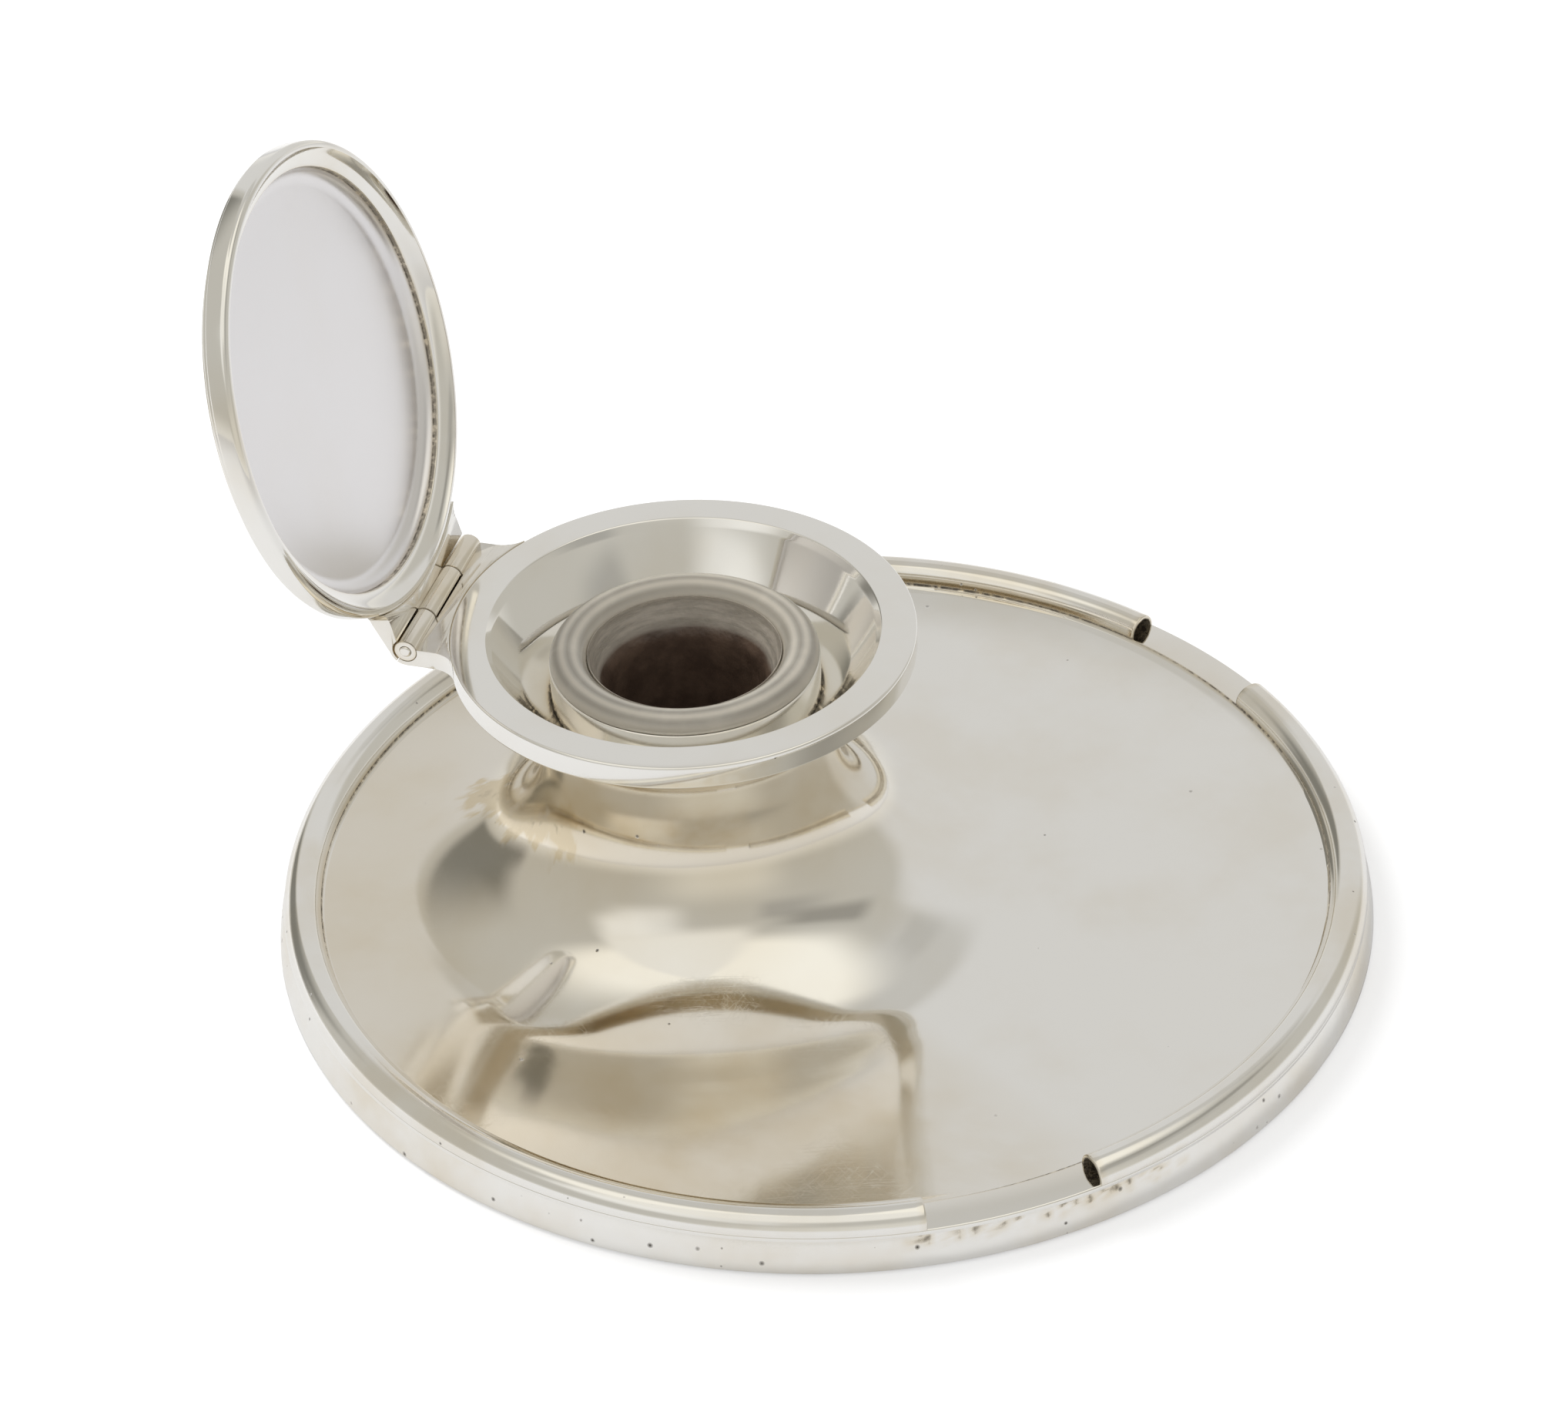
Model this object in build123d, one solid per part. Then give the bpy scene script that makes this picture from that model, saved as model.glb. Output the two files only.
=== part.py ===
from build123d import *
import math
import os

# Capstan inkwell with one well and two pen rests, millimetres, +Z up.
# The origin is the centre of the round base on the table plane.
# The pen rests are to the front (-Y) and the lid's hinge is at the back (+Y).

# Shared by all sheet work
SHEET = 0.8
FIT_GAP = 0.3
SOLDER_FILM = 0.02

# Base, from the table up
BASE_DIAMETER = 178.0
BAIZE_THICKNESS = 1.0
BOARD_THICKNESS = 2.3
BOARD_EDGE = 0.4
SKIRT_FOOT_GAP = 0.4
SKIRT_LEAN = 1.2
SKIRT_SWELL = 0.25

# Tray, flat in the middle and hollowed towards a step up to the bead's floor
TRAY_FLAT_DIAMETER = 104.0
TRAY_HOLLOW = 1.7
RIM_STEP = 0.5

# Half-round bead round the tray, with two gaps where pens lie
BEAD_WIDTH = 6.0
BEAD_WALL = 0.6
NOTCH_WIDTH = 26.5
NOTCH_ANGLE = 55.6

# Waisted neck, which stands as far back as its flare lets it
TRAY_BACK_LAND = 1.56
WAIST_DIAMETER = 47.4
WAIST_RISE = 24.8
FLARE_CURVE = 22.3
FLARE_TURN = 64.0
FOOT_SINK = 0.35

# Collar: a flat flange with a steep drip dish in it
COLLAR_HEIGHT = 50.6
COLLAR_FLANGE = 1.0
FLANGE_WIDTH = 5.8
COLLAR_EDGE = 0.4
COLLAR_BAND_HEIGHT = 3.0
COLLAR_BAND_WALL = 1.2
COLLAR_BAND_EDGE = 0.4
NECK_SEAT_INSET = 0.4
DISH_OVER_WAIST = 7.5
DISH_FOOT_LIFT = 9.6
DISH_SAG = 0.4

# Metal cup that holds the glass
CUP_DIAMETER = 43.2
CUP_WALL = 0.7
CUP_RIM_DROP = 5.4
CUP_CORNER = 2.0
FILL_UNDER_CUP = 8.3
FILL_WAIST_DROP = 8.0
FILL_EDGE = 0.6

# Glass liner
GLASS_LIP_INSET = 0.1
GLASS_LIP_HEIGHT = 2.3
GLASS_LIP_LAND = 0.35
GLASS_CUP_GAP = 0.5
GLASS_SEAT_GAP = 0.1
GLASS_TAPER = 1.2
GLASS_MOUTH_DIAMETER = 31.2
GLASS_BORE_DIAMETER = 26.6
GLASS_MOUTH_DEPTH = 8.0
GLASS_FLOOR = 5.0
GLASS_CORNER = 4.0
GLASS_FOOT_CORNER = 2.0

# Lid, closed flat on the collar
LID_OVERHANG = 0.4
LID_GAP = 0.2
LID_BAND_HEIGHT = 3.6
LID_RIDGE_INSET = 1.0
LID_LIP_WIDTH = 3.0
LID_LIP_RISE = 1.9
LID_LIP_HOLLOW = 0.4
LINING_DEPTH = 4.6
LINING_SHEET = 0.5
LINING_SEAT = 1.7
LINING_CURVE = 2.7
DOME_SHEET = 0.7
DOME_STEP = 1.2
LID_HEIGHT = 9.4

# Three-knuckle hinge with a stop
HINGE_OUTSET = 4.1
HINGE_DROP = 0.5
HINGE_WIDTH = 31.2
KNUCKLE_DIAMETER = 3.8
MIDDLE_KNUCKLE = 12.2
KNUCKLE_END_GAP = 0.15
KNUCKLE_SIDE_GAP = 0.25
PIN_DIAMETER = 1.8
PIN_CLEARANCE = 0.05
PIN_PROUD = 0.3
OPEN_ANGLE = 105.4
STOP_GAP_ANGLE = 3.6
HEEL_WALL = 0.75
LID_LUG_THICKNESS = 3.2
LID_LUG_TAPER = 5.6
BODY_LUG_FILLET = 5.0
LID_LUG_FILLET = 2.5

# Places that follow from the sizes above
base_r = BASE_DIAMETER / 2
board_top = BAIZE_THICKNESS + BOARD_THICKNESS
tray_under = board_top + FIT_GAP
tray_z = tray_under + SHEET
tray_edge_z = tray_z + TRAY_HOLLOW
rim_z = tray_edge_z + RIM_STEP
rim_under = rim_z - SHEET
skirt_top_r = base_r - SKIRT_LEAN
bead_r = BEAD_WIDTH / 2
bead_centre_r = skirt_top_r - bead_r
tray_r = bead_centre_r - bead_r

tray_flat_r = TRAY_FLAT_DIAMETER / 2
tray_edge_r = tray_r - RIM_STEP / 2
hollow_run = tray_edge_r - tray_flat_r
hollow_curve = (hollow_run ** 2 + TRAY_HOLLOW ** 2) / (2 * TRAY_HOLLOW)
hollow_centre = (tray_flat_r, tray_z + hollow_curve)
hollow_end = 270 + math.degrees(math.asin(hollow_run / hollow_curve))

waist_r = WAIST_DIAMETER / 2
waist_z = tray_z + WAIST_RISE
flare_centre = (waist_r + FLARE_CURVE, waist_z)
flare_turn = math.radians(FLARE_TURN)
foot_z = tray_z - FOOT_SINK
foot_curve = (waist_z - FLARE_CURVE * math.sin(flare_turn) - foot_z) / (1 - math.sin(flare_turn))
flare_end_r = flare_centre[0] + (foot_curve - FLARE_CURVE) * math.cos(flare_turn)
foot_centre = (flare_end_r, foot_z + foot_curve)
foot_start = 180 + FLARE_TURN
well_y = tray_r - flare_end_r - TRAY_BACK_LAND
dish_r = waist_r + DISH_OVER_WAIST
collar_r = dish_r + FLANGE_WIDTH
flange_under = COLLAR_HEIGHT - COLLAR_FLANGE
neck_top_r = collar_r - COLLAR_BAND_WALL - NECK_SEAT_INSET
neck_rise = flange_under - waist_z
neck_spread = neck_top_r - waist_r
neck_upper_curve = (neck_rise ** 2 + neck_spread ** 2) / (2 * neck_spread)

dish_foot_z = waist_z + DISH_FOOT_LIFT
cup_r = CUP_DIAMETER / 2
cup_bore_r = cup_r - CUP_WALL
cup_rim_z = COLLAR_HEIGHT - CUP_RIM_DROP
cup_under = tray_under + FILL_UNDER_CUP

glass_seat_z = cup_rim_z + GLASS_SEAT_GAP
glass_under = cup_under + CUP_WALL + GLASS_CUP_GAP

lid_r = collar_r + LID_OVERHANG
lid_z = COLLAR_HEIGHT + LID_GAP
lid_ridge_r = lid_r - LID_RIDGE_INSET
lid_lip_r = lid_ridge_r - LID_LIP_WIDTH
lining_seat_z = LID_BAND_HEIGHT - 2 * LINING_SHEET
lining_edge_r = lid_lip_r + LINING_SEAT

hinge_reach = collar_r + HINGE_OUTSET
hinge_y = well_y + hinge_reach
hinge_z = COLLAR_HEIGHT - HINGE_DROP
hinge_axis = Axis((0, hinge_y, hinge_z), (1, 0, 0))
knuckle_r = KNUCKLE_DIAMETER / 2
pin_r = PIN_DIAMETER / 2
middle_half = MIDDLE_KNUCKLE / 2
side_start = middle_half + KNUCKLE_END_GAP
stop_angle = (OPEN_ANGLE + STOP_GAP_ANGLE) / 2
heel_r = knuckle_r + HEEL_WALL
body_lug_low = -heel_r
lid_lug_low = HINGE_DROP + LID_GAP
lid_lug_top = lid_lug_low + LID_LUG_THICKNESS


def face_of(*curves):
    """A flat face inside curves that meet end to end."""
    edges = []
    for curve in curves:
        edges.extend(curve.edges())
    return make_face(edges)


def turned(face, centre_y=0.0):
    """Spins a (radius, height) face into a round solid."""
    return Pos(0, centre_y, 0) * revolve(Plane.XZ * face, Axis.Z)


def point_on(centre, radius, degrees):
    """The point of a circle at an angle from its first axis."""
    angle = math.radians(degrees)
    return (centre[0] + radius * math.cos(angle), centre[1] + radius * math.sin(angle))


def arc_between(centre, radius, start, end):
    """A circular arc from one angle to another, in degrees."""
    middle = (start + end) / 2
    return ThreePointArc(
        point_on(centre, radius, start),
        point_on(centre, radius, middle),
        point_on(centre, radius, end),
    )


def keep(solid, name):
    """Writes one piece under its own name."""
    solid.label = name
    export_step(solid, f"parts/{name}.step")


def neck_flare(depth, top_angle, bottom_angle):
    """The neck's lower line, a tight arc and a wide one, at some depth inside its face."""
    return [
        arc_between(flare_centre, FLARE_CURVE + depth, top_angle, foot_start),
        arc_between(foot_centre, foot_curve + depth, foot_start, bottom_angle),
    ]


def neck_sheet():
    """The waisted neck: its flare, and one arc from the waist up to the collar."""
    upper_centre = (waist_r + neck_upper_curve, waist_z)
    upper_tilt = math.degrees(math.asin(neck_rise / neck_upper_curve))
    inner_curve = neck_upper_curve + SHEET
    inner_tilt = math.degrees(math.asin(neck_rise / inner_curve))
    outer_top = point_on(upper_centre, neck_upper_curve, 180 - upper_tilt)
    inner_top = point_on(upper_centre, inner_curve, 180 - inner_tilt)
    face = face_of(
        arc_between(upper_centre, neck_upper_curve, 180 - upper_tilt, 180),
        *neck_flare(0, 180, 270),
        Line((flare_end_r, foot_z), (flare_end_r, foot_z - SHEET)),
        *neck_flare(SHEET, 180, 270),
        arc_between(upper_centre, inner_curve, 180, 180 - inner_tilt),
        Line(inner_top, outer_top),
    )
    return turned(face, well_y)


def inside_neck():
    """The room inside the neck's flare."""
    return turned(face_of(
        Line((0, foot_z - SHEET), (0, waist_z)),
        Line((0, waist_z), (waist_r - SHEET, waist_z)),
        *neck_flare(SHEET, 180, 270),
        Line((flare_end_r, foot_z - SHEET), (0, foot_z - SHEET)),
    ), well_y)


def hollow(depth):
    """The tray's line outside its flat middle, at some depth below its face."""
    return arc_between(hollow_centre, hollow_curve + depth, 270, hollow_end)


def tray_plate():
    """Tray hollowed towards its edge, with a step up to the bead's floor."""
    under_end = point_on(hollow_centre, hollow_curve + SHEET, hollow_end)
    return turned(face_of(
        Line((0, tray_z), (tray_flat_r, tray_z)),
        hollow(0),
        Polyline((tray_edge_r, tray_edge_z), (tray_r, rim_z), (skirt_top_r, rim_z),
                 (skirt_top_r, rim_under), (tray_r + SHEET, rim_under), under_end),
        hollow(SHEET),
        Polyline((tray_flat_r, tray_under), (0, tray_under), (0, tray_z)),
    ))


def below_tray():
    """The room under the tray."""
    under_end = point_on(hollow_centre, hollow_curve + SHEET, hollow_end)
    return turned(face_of(
        Polyline((0, 0), (0, tray_under), (tray_flat_r, tray_under)),
        hollow(SHEET),
        Polyline(under_end, (under_end[0], 0), (0, 0)),
    ))


def tray_shell():
    """Neck, hollow tray and raised rim floor, all one spun sheet."""
    return (tray_plate() - inside_neck()) + (neck_sheet() - below_tray())


def skirt_wall():
    """Outer wall of the base, a strip with a slight swell."""
    foot_r = base_r
    middle = ((foot_r + skirt_top_r) / 2 + SKIRT_SWELL, (SKIRT_FOOT_GAP + rim_under) / 2)
    return turned(face_of(
        ThreePointArc((foot_r, SKIRT_FOOT_GAP), middle, (skirt_top_r, rim_under)),
        Line((skirt_top_r, rim_under), (skirt_top_r - SHEET, rim_under)),
        ThreePointArc((skirt_top_r - SHEET, rim_under), (middle[0] - SHEET, middle[1]),
                      (foot_r - SHEET, SKIRT_FOOT_GAP)),
        Line((foot_r - SHEET, SKIRT_FOOT_GAP), (foot_r, SKIRT_FOOT_GAP)),
    ))


def rim_bead(start, sweep):
    """A run of hollow half-round bead from one angle, open at its ends."""
    centre = (bead_centre_r, rim_z)
    bore_r = bead_r - BEAD_WALL
    face = face_of(
        arc_between(centre, bead_r, 0, 180),
        Line(point_on(centre, bead_r, 180), point_on(centre, bore_r, 180)),
        arc_between(centre, bore_r, 180, 0),
        Line(point_on(centre, bore_r, 0), point_on(centre, bead_r, 0)),
    )
    run = revolve(Plane.XZ * face, Axis.Z, revolution_arc=sweep)
    return run.rotate(Axis.Z, start)


def base_board():
    """Turned wooden disc that closes the base."""
    board_r = skirt_top_r - SHEET - FIT_GAP
    board = Pos(0, 0, BAIZE_THICKNESS) * Cylinder(
        board_r, BOARD_THICKNESS, align=(Align.CENTER, Align.CENTER, Align.MIN))
    return chamfer(board.edges().group_by(Axis.Z)[-1], BOARD_EDGE)


def baize_pad():
    """Cloth glued under the board, which the whole thing stands on."""
    pad_r = skirt_top_r - SHEET - 2 * FIT_GAP
    return Cylinder(pad_r, BAIZE_THICKNESS, align=(Align.CENTER, Align.CENTER, Align.MIN))


def plaster_fill():
    """Weight cast round the cup, to below the waist."""
    depth = SHEET + FIT_GAP
    under = board_top + FIT_GAP / 2
    edge_rise = foot_centre[1] - under - FILL_EDGE
    edge_angle = 180 + math.degrees(math.asin(edge_rise / (foot_curve + depth)))
    top_angle = 180 + math.degrees(math.asin(FILL_WAIST_DROP / (FLARE_CURVE + depth)))
    edge = point_on(foot_centre, foot_curve + depth, edge_angle)
    top = point_on(flare_centre, FLARE_CURVE + depth, top_angle)
    hole_r = cup_r + FIT_GAP / 2
    floor_z = cup_under - FIT_GAP / 2
    face = face_of(
        Polyline(top, (hole_r, top[1]), (hole_r, floor_z), (0, floor_z), (0, under),
                 (edge[0], under), edge),
        *neck_flare(depth, top_angle, edge_angle),
    )
    return turned(face, well_y)


def collar_dish():
    """Flat flange with a steep round dish spun in it, open in the middle for the cup."""
    lip = (dish_r, COLLAR_HEIGHT)
    foot = (cup_r + SOLDER_FILM, dish_foot_z)
    run = lip[0] - foot[0]
    rise = lip[1] - foot[1]
    slant = math.hypot(run, rise)
    outward = (rise / slant, -run / slant)
    inner, outer = [(foot[0] + run / 2 + sag * outward[0], foot[1] + rise / 2 + sag * outward[1])
                    for sag in (DISH_SAG, DISH_SAG + SHEET)]
    lip_under = (lip[0] + SHEET * slant / rise, lip[1])
    foot_under = (foot[0], foot[1] - SHEET * slant / run)
    flange = turned(face_of(Polyline(
        lip, (collar_r, COLLAR_HEIGHT), (collar_r, flange_under), (dish_r, flange_under), lip)))
    flange = fillet(flange.edges().group_by(Axis.Z)[-1].sort_by(SortBy.LENGTH)[-1], COLLAR_EDGE)
    bowl = turned(face_of(
        ThreePointArc(foot, inner, lip),
        Line(lip, lip_under),
        ThreePointArc(lip_under, outer, foot_under),
        Line(foot_under, foot),
    ))
    return Pos(0, well_y, 0) * (flange + bowl)


def collar_band():
    """Square wire that stiffens the collar's edge from below."""
    low = flange_under - COLLAR_BAND_HEIGHT
    inner_r = collar_r - COLLAR_BAND_WALL
    band = turned(face_of(Polyline(
        (inner_r, low), (collar_r, low), (collar_r, flange_under),
        (inner_r, flange_under), (inner_r, low))), well_y)
    return fillet(band.edges().group_by(Axis.Z)[0], COLLAR_BAND_EDGE)


def well_cup():
    """Spun cup that stands up through the dish and holds the glass."""
    inner_corner = CUP_CORNER - CUP_WALL
    corner = (cup_r - CUP_CORNER, cup_under + CUP_CORNER)
    return turned(face_of(
        Polyline((0, cup_under), (corner[0], cup_under)),
        arc_between(corner, CUP_CORNER, -90, 0),
        Polyline((cup_r, corner[1]), (cup_r, cup_rim_z), (cup_bore_r, cup_rim_z),
                 (cup_bore_r, corner[1])),
        arc_between(corner, inner_corner, 0, -90),
        Polyline((corner[0], cup_under + CUP_WALL), (0, cup_under + CUP_WALL), (0, cup_under)),
    ), well_y)


def glass_liner():
    """Thick pressed glass pot with a rounded lip and a bore that narrows."""
    lip_r = cup_r - GLASS_LIP_INSET
    wall_r = cup_bore_r - GLASS_CUP_GAP
    foot_r = wall_r - GLASS_TAPER
    mouth_r = GLASS_MOUTH_DIAMETER / 2
    bore_r = GLASS_BORE_DIAMETER / 2
    top = glass_seat_z + GLASS_LIP_HEIGHT
    crown_r = (lip_r + mouth_r) / 2
    mouth_z = top - GLASS_LIP_HEIGHT
    bore_z = top - GLASS_MOUTH_DEPTH
    floor_z = glass_under + GLASS_FLOOR
    foot_corner = GLASS_FOOT_CORNER
    outer_drop = GLASS_LIP_HEIGHT - GLASS_LIP_LAND
    return turned(face_of(
        Polyline((0, glass_under), (foot_r - foot_corner, glass_under)),
        arc_between((foot_r - foot_corner, glass_under + foot_corner), foot_corner, -90, 0),
        Polyline((foot_r, glass_under + foot_corner), (wall_r, glass_seat_z),
                 (lip_r, glass_seat_z), (lip_r, top - outer_drop)),
        EllipticalCenterArc((crown_r, top - outer_drop), lip_r - crown_r, outer_drop,
                            start_angle=0, arc_size=90),
        EllipticalCenterArc((crown_r, mouth_z), crown_r - mouth_r, GLASS_LIP_HEIGHT,
                            start_angle=90, arc_size=90),
        Polyline((mouth_r, mouth_z), (bore_r, bore_z), (bore_r, floor_z + GLASS_CORNER)),
        arc_between((bore_r - GLASS_CORNER, floor_z + GLASS_CORNER), GLASS_CORNER, 0, -90),
        Polyline((bore_r - GLASS_CORNER, floor_z), (0, floor_z), (0, glass_under)),
    ), well_y)


def lid_rim():
    """Heavy moulded ring of the lid, which lies on the collar."""
    edge_r = LID_RIDGE_INSET
    chord_mid = (lid_ridge_r - LID_LIP_WIDTH / 2, LID_LIP_RISE / 2)
    hollow = LID_LIP_HOLLOW / math.hypot(LID_LIP_WIDTH, LID_LIP_RISE)
    hollow_mid = (chord_mid[0] + hollow * LID_LIP_RISE, chord_mid[1] + hollow * LID_LIP_WIDTH)
    ring = face_of(
        ThreePointArc((lid_lip_r, LID_LIP_RISE), hollow_mid, (lid_ridge_r, 0)),
        arc_between((lid_ridge_r, edge_r), edge_r, -90, 0),
        Polyline((lid_r, edge_r), (lid_r, LID_BAND_HEIGHT), (lining_edge_r, LID_BAND_HEIGHT),
                 (lining_edge_r, lining_seat_z), (lid_lip_r, lining_seat_z),
                 (lid_lip_r, LID_LIP_RISE)),
    )
    return Pos(0, 0, lid_z) * turned(ring, well_y)


def lid_lining():
    """Thin pan inside the lid, its edge held on the rim's seat."""
    flat_r = lid_lip_r - LINING_CURVE
    rise = LINING_DEPTH - lining_seat_z
    inner = (flat_r, lining_seat_z)
    pan = face_of(
        Line((0, LINING_DEPTH), (flat_r, LINING_DEPTH)),
        EllipticalCenterArc(inner, LINING_CURVE, rise, start_angle=0, arc_size=90),
        Polyline((lid_lip_r, lining_seat_z), (lining_edge_r - SOLDER_FILM, lining_seat_z),
                 (lining_edge_r - SOLDER_FILM, lining_seat_z + LINING_SHEET),
                 (lid_lip_r + LINING_SHEET, lining_seat_z + LINING_SHEET)),
        EllipticalCenterArc((flat_r, lining_seat_z + LINING_SHEET),
                            LINING_CURVE + LINING_SHEET, rise, start_angle=0, arc_size=90),
        Polyline((flat_r, LINING_DEPTH + LINING_SHEET), (0, LINING_DEPTH + LINING_SHEET),
                 (0, LINING_DEPTH)),
    )
    return Pos(0, 0, lid_z) * turned(pan, well_y)


def lid_dome():
    """Low dome of the lid with a stepped border."""
    border_r = lid_r - LID_RIDGE_INSET / 2
    inner_in = lid_lip_r + LINING_SHEET + FIT_GAP
    step_in = inner_in + DOME_SHEET
    step_out = step_in + DOME_STEP
    low = LID_BAND_HEIGHT
    high = low + DOME_SHEET + DOME_STEP
    rise = LID_HEIGHT - high
    crown = (step_in ** 2 + rise ** 2) / (2 * rise)
    crown_z = LID_HEIGHT - crown
    inner_crown = crown - DOME_SHEET
    inner_high = crown_z + math.sqrt(inner_crown ** 2 - inner_in ** 2)
    outer_tilt = math.degrees(math.asin(step_in / crown))
    inner_tilt = math.degrees(math.asin(inner_in / inner_crown))
    shell = face_of(
        Polyline((border_r, low), (border_r, low + DOME_SHEET), (step_out, low + DOME_SHEET)),
        arc_between((step_out, high), DOME_STEP, 270, 180),
        arc_between((0, crown_z), crown, 90 - outer_tilt, 90),
        Line((0, LID_HEIGHT), (0, LID_HEIGHT - DOME_SHEET)),
        arc_between((0, crown_z), inner_crown, 90, 90 - inner_tilt),
        Polyline((inner_in, inner_high), (inner_in, low), (border_r, low)),
    )
    return Pos(0, 0, lid_z) * turned(shell, well_y)


def hinge_section(*outline):
    """A face across the hinge: first outward from its axis, then up."""
    plane = Plane(origin=(0, hinge_y, hinge_z), x_dir=(0, 1, 0), z_dir=(1, 0, 0))
    return plane * face_of(*outline)


def along_hinge(face, start, end):
    """Draws a hinge section out from one place along the axis to another."""
    return Pos(start, 0, 0) * extrude(face, end - start, dir=(1, 0, 0))


def round_bar(radius, start, end):
    """A round bar on the hinge axis."""
    return along_hinge(hinge_section(CenterArc((0, 0), radius, 0, 360)), start, end)


def lug_plan(ring_r, fillet_r, low, high):
    """Space of a lug that grows out of a round edge with filleted corners."""
    reach = hinge_reach + 2 * heel_r
    tongue = Pos(0, reach / 2) * Rectangle(HINGE_WIDTH, reach)
    plan = Circle(ring_r) + tongue
    joins = plan.vertices().group_by(Axis.Y)[-2]
    plan = fillet(joins, fillet_r) - Circle(ring_r + SOLDER_FILM)
    return Pos(0, well_y, hinge_z + low) * extrude(plan, high - low)


def heel_edge(angle, side):
    """End of a lug behind the barrel: an arc from straight up or down to the stop face."""
    return [
        arc_between((0, 0), heel_r, side * 90, side * angle),
        Line(point_on((0, 0), heel_r, side * angle), (0, 0)),
    ]


def body_lug():
    """Bracket on the collar that carries the two outer knuckles and the lower stop."""
    back = -hinge_reach / 2
    section = hinge_section(
        Polyline((0, 0), (0, HINGE_DROP), (back, HINGE_DROP), (back, body_lug_low),
                 (0, body_lug_low)),
        *heel_edge(stop_angle, -1),
    )
    lug = along_hinge(section, -HINGE_WIDTH, HINGE_WIDTH)
    lug = lug & lug_plan(collar_r, BODY_LUG_FILLET, body_lug_low, HINGE_DROP)
    lug = lug - round_bar(knuckle_r + SOLDER_FILM, -HINGE_WIDTH, HINGE_WIDTH)
    return lug - round_bar(knuckle_r + KNUCKLE_SIDE_GAP, -side_start, side_start)


def lid_lug():
    """Matching bracket on the lid, with the middle knuckle and the upper stop."""
    back = -hinge_reach / 2
    section = hinge_section(
        Polyline((0, 0), (0, lid_lug_low), (back, lid_lug_low), (back, lid_lug_top),
                 (-LID_LUG_TAPER, lid_lug_top), (0, heel_r)),
        *heel_edge(stop_angle, 1),
    )
    lug = along_hinge(section, -HINGE_WIDTH, HINGE_WIDTH)
    lug = lug & lug_plan(lid_r, LID_LUG_FILLET, 0, lid_lug_top)
    clear = knuckle_r + KNUCKLE_SIDE_GAP
    lug = lug - round_bar(knuckle_r + SOLDER_FILM, -HINGE_WIDTH, HINGE_WIDTH)
    for side in (-1, 1):
        start, end = sorted((side * middle_half, side * HINGE_WIDTH))
        lug = lug - round_bar(clear, start, end)
    return lug


def knuckle(start, end):
    """One tube of the barrel, bored for the pin."""
    bore = pin_r + PIN_CLEARANCE
    return round_bar(knuckle_r, start, end) - round_bar(bore, start, end)


def hinge_pin():
    """Drawn wire through all three knuckles, its ends rounded over."""
    end = HINGE_WIDTH / 2 + PIN_PROUD
    pin = round_bar(pin_r, -end, end)
    return chamfer(pin.faces().sort_by(Axis.X)[0].edges() +
                   pin.faces().sort_by(Axis.X)[-1].edges(), PIN_PROUD)


def opened(piece):
    """Swings a piece of the closed lid back to its stop."""
    return piece.rotate(hinge_axis, -OPEN_ANGLE)


def build():
    """Makes and writes every piece."""
    os.makedirs("parts", exist_ok=True)
    notch_half = math.degrees(math.asin(NOTCH_WIDTH / 2 / bead_centre_r))
    front = 270
    gap_end = NOTCH_ANGLE - notch_half
    gap_start = NOTCH_ANGLE + notch_half

    keep(baize_pad(), "baize_pad")
    keep(base_board(), "base_board")
    keep(plaster_fill(), "plaster_fill")
    keep(skirt_wall(), "skirt_wall")
    keep(tray_shell(), "tray_shell")
    keep(rim_bead(front - gap_end, 2 * gap_end), "rim_bead_front")
    keep(rim_bead(front + gap_start, 360 - 2 * gap_start), "rim_bead_back")
    keep(well_cup(), "well_cup")
    keep(collar_dish(), "collar_dish")
    keep(collar_band(), "collar_band")
    keep(glass_liner(), "glass_liner")

    keep(body_lug(), "body_lug")
    keep(knuckle(-HINGE_WIDTH / 2, -side_start), "body_knuckle_left")
    keep(knuckle(side_start, HINGE_WIDTH / 2), "body_knuckle_right")
    keep(hinge_pin(), "hinge_pin")

    keep(opened(lid_rim()), "lid_rim")
    keep(opened(lid_lining()), "lid_lining")
    keep(opened(lid_dome()), "lid_dome")
    keep(opened(lid_lug()), "lid_lug")
    keep(opened(knuckle(-middle_half, middle_half)), "lid_knuckle")


build()
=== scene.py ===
import bmesh
import bpy
import math
from mathutils import Matrix, Vector, noise


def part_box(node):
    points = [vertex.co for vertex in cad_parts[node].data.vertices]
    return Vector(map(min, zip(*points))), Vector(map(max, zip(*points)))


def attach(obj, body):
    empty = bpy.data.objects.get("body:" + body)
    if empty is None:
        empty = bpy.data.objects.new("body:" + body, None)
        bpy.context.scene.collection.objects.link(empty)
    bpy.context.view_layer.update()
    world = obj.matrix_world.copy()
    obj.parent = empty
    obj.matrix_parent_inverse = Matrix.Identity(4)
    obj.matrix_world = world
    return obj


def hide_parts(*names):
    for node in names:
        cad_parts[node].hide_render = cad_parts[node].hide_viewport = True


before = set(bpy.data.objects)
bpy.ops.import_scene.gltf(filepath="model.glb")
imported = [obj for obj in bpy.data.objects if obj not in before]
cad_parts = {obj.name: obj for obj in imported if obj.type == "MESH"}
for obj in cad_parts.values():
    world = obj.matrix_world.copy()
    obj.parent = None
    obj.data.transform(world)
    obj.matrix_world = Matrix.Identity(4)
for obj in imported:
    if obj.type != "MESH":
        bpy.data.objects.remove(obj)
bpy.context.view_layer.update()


# The viewpoint. Someone stands at the desk, left of the pen rests, and looks down
# at the open inkwell through a long lens.
view_heading = math.radians(17.53)
view_down = math.radians(35.97)
view_roll = math.radians(-2.48)
lens = bpy.data.cameras.new("viewpoint")
lens.sensor_width = 36.0
lens.lens = 99.85
lens.shift_x = 0.0135
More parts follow.
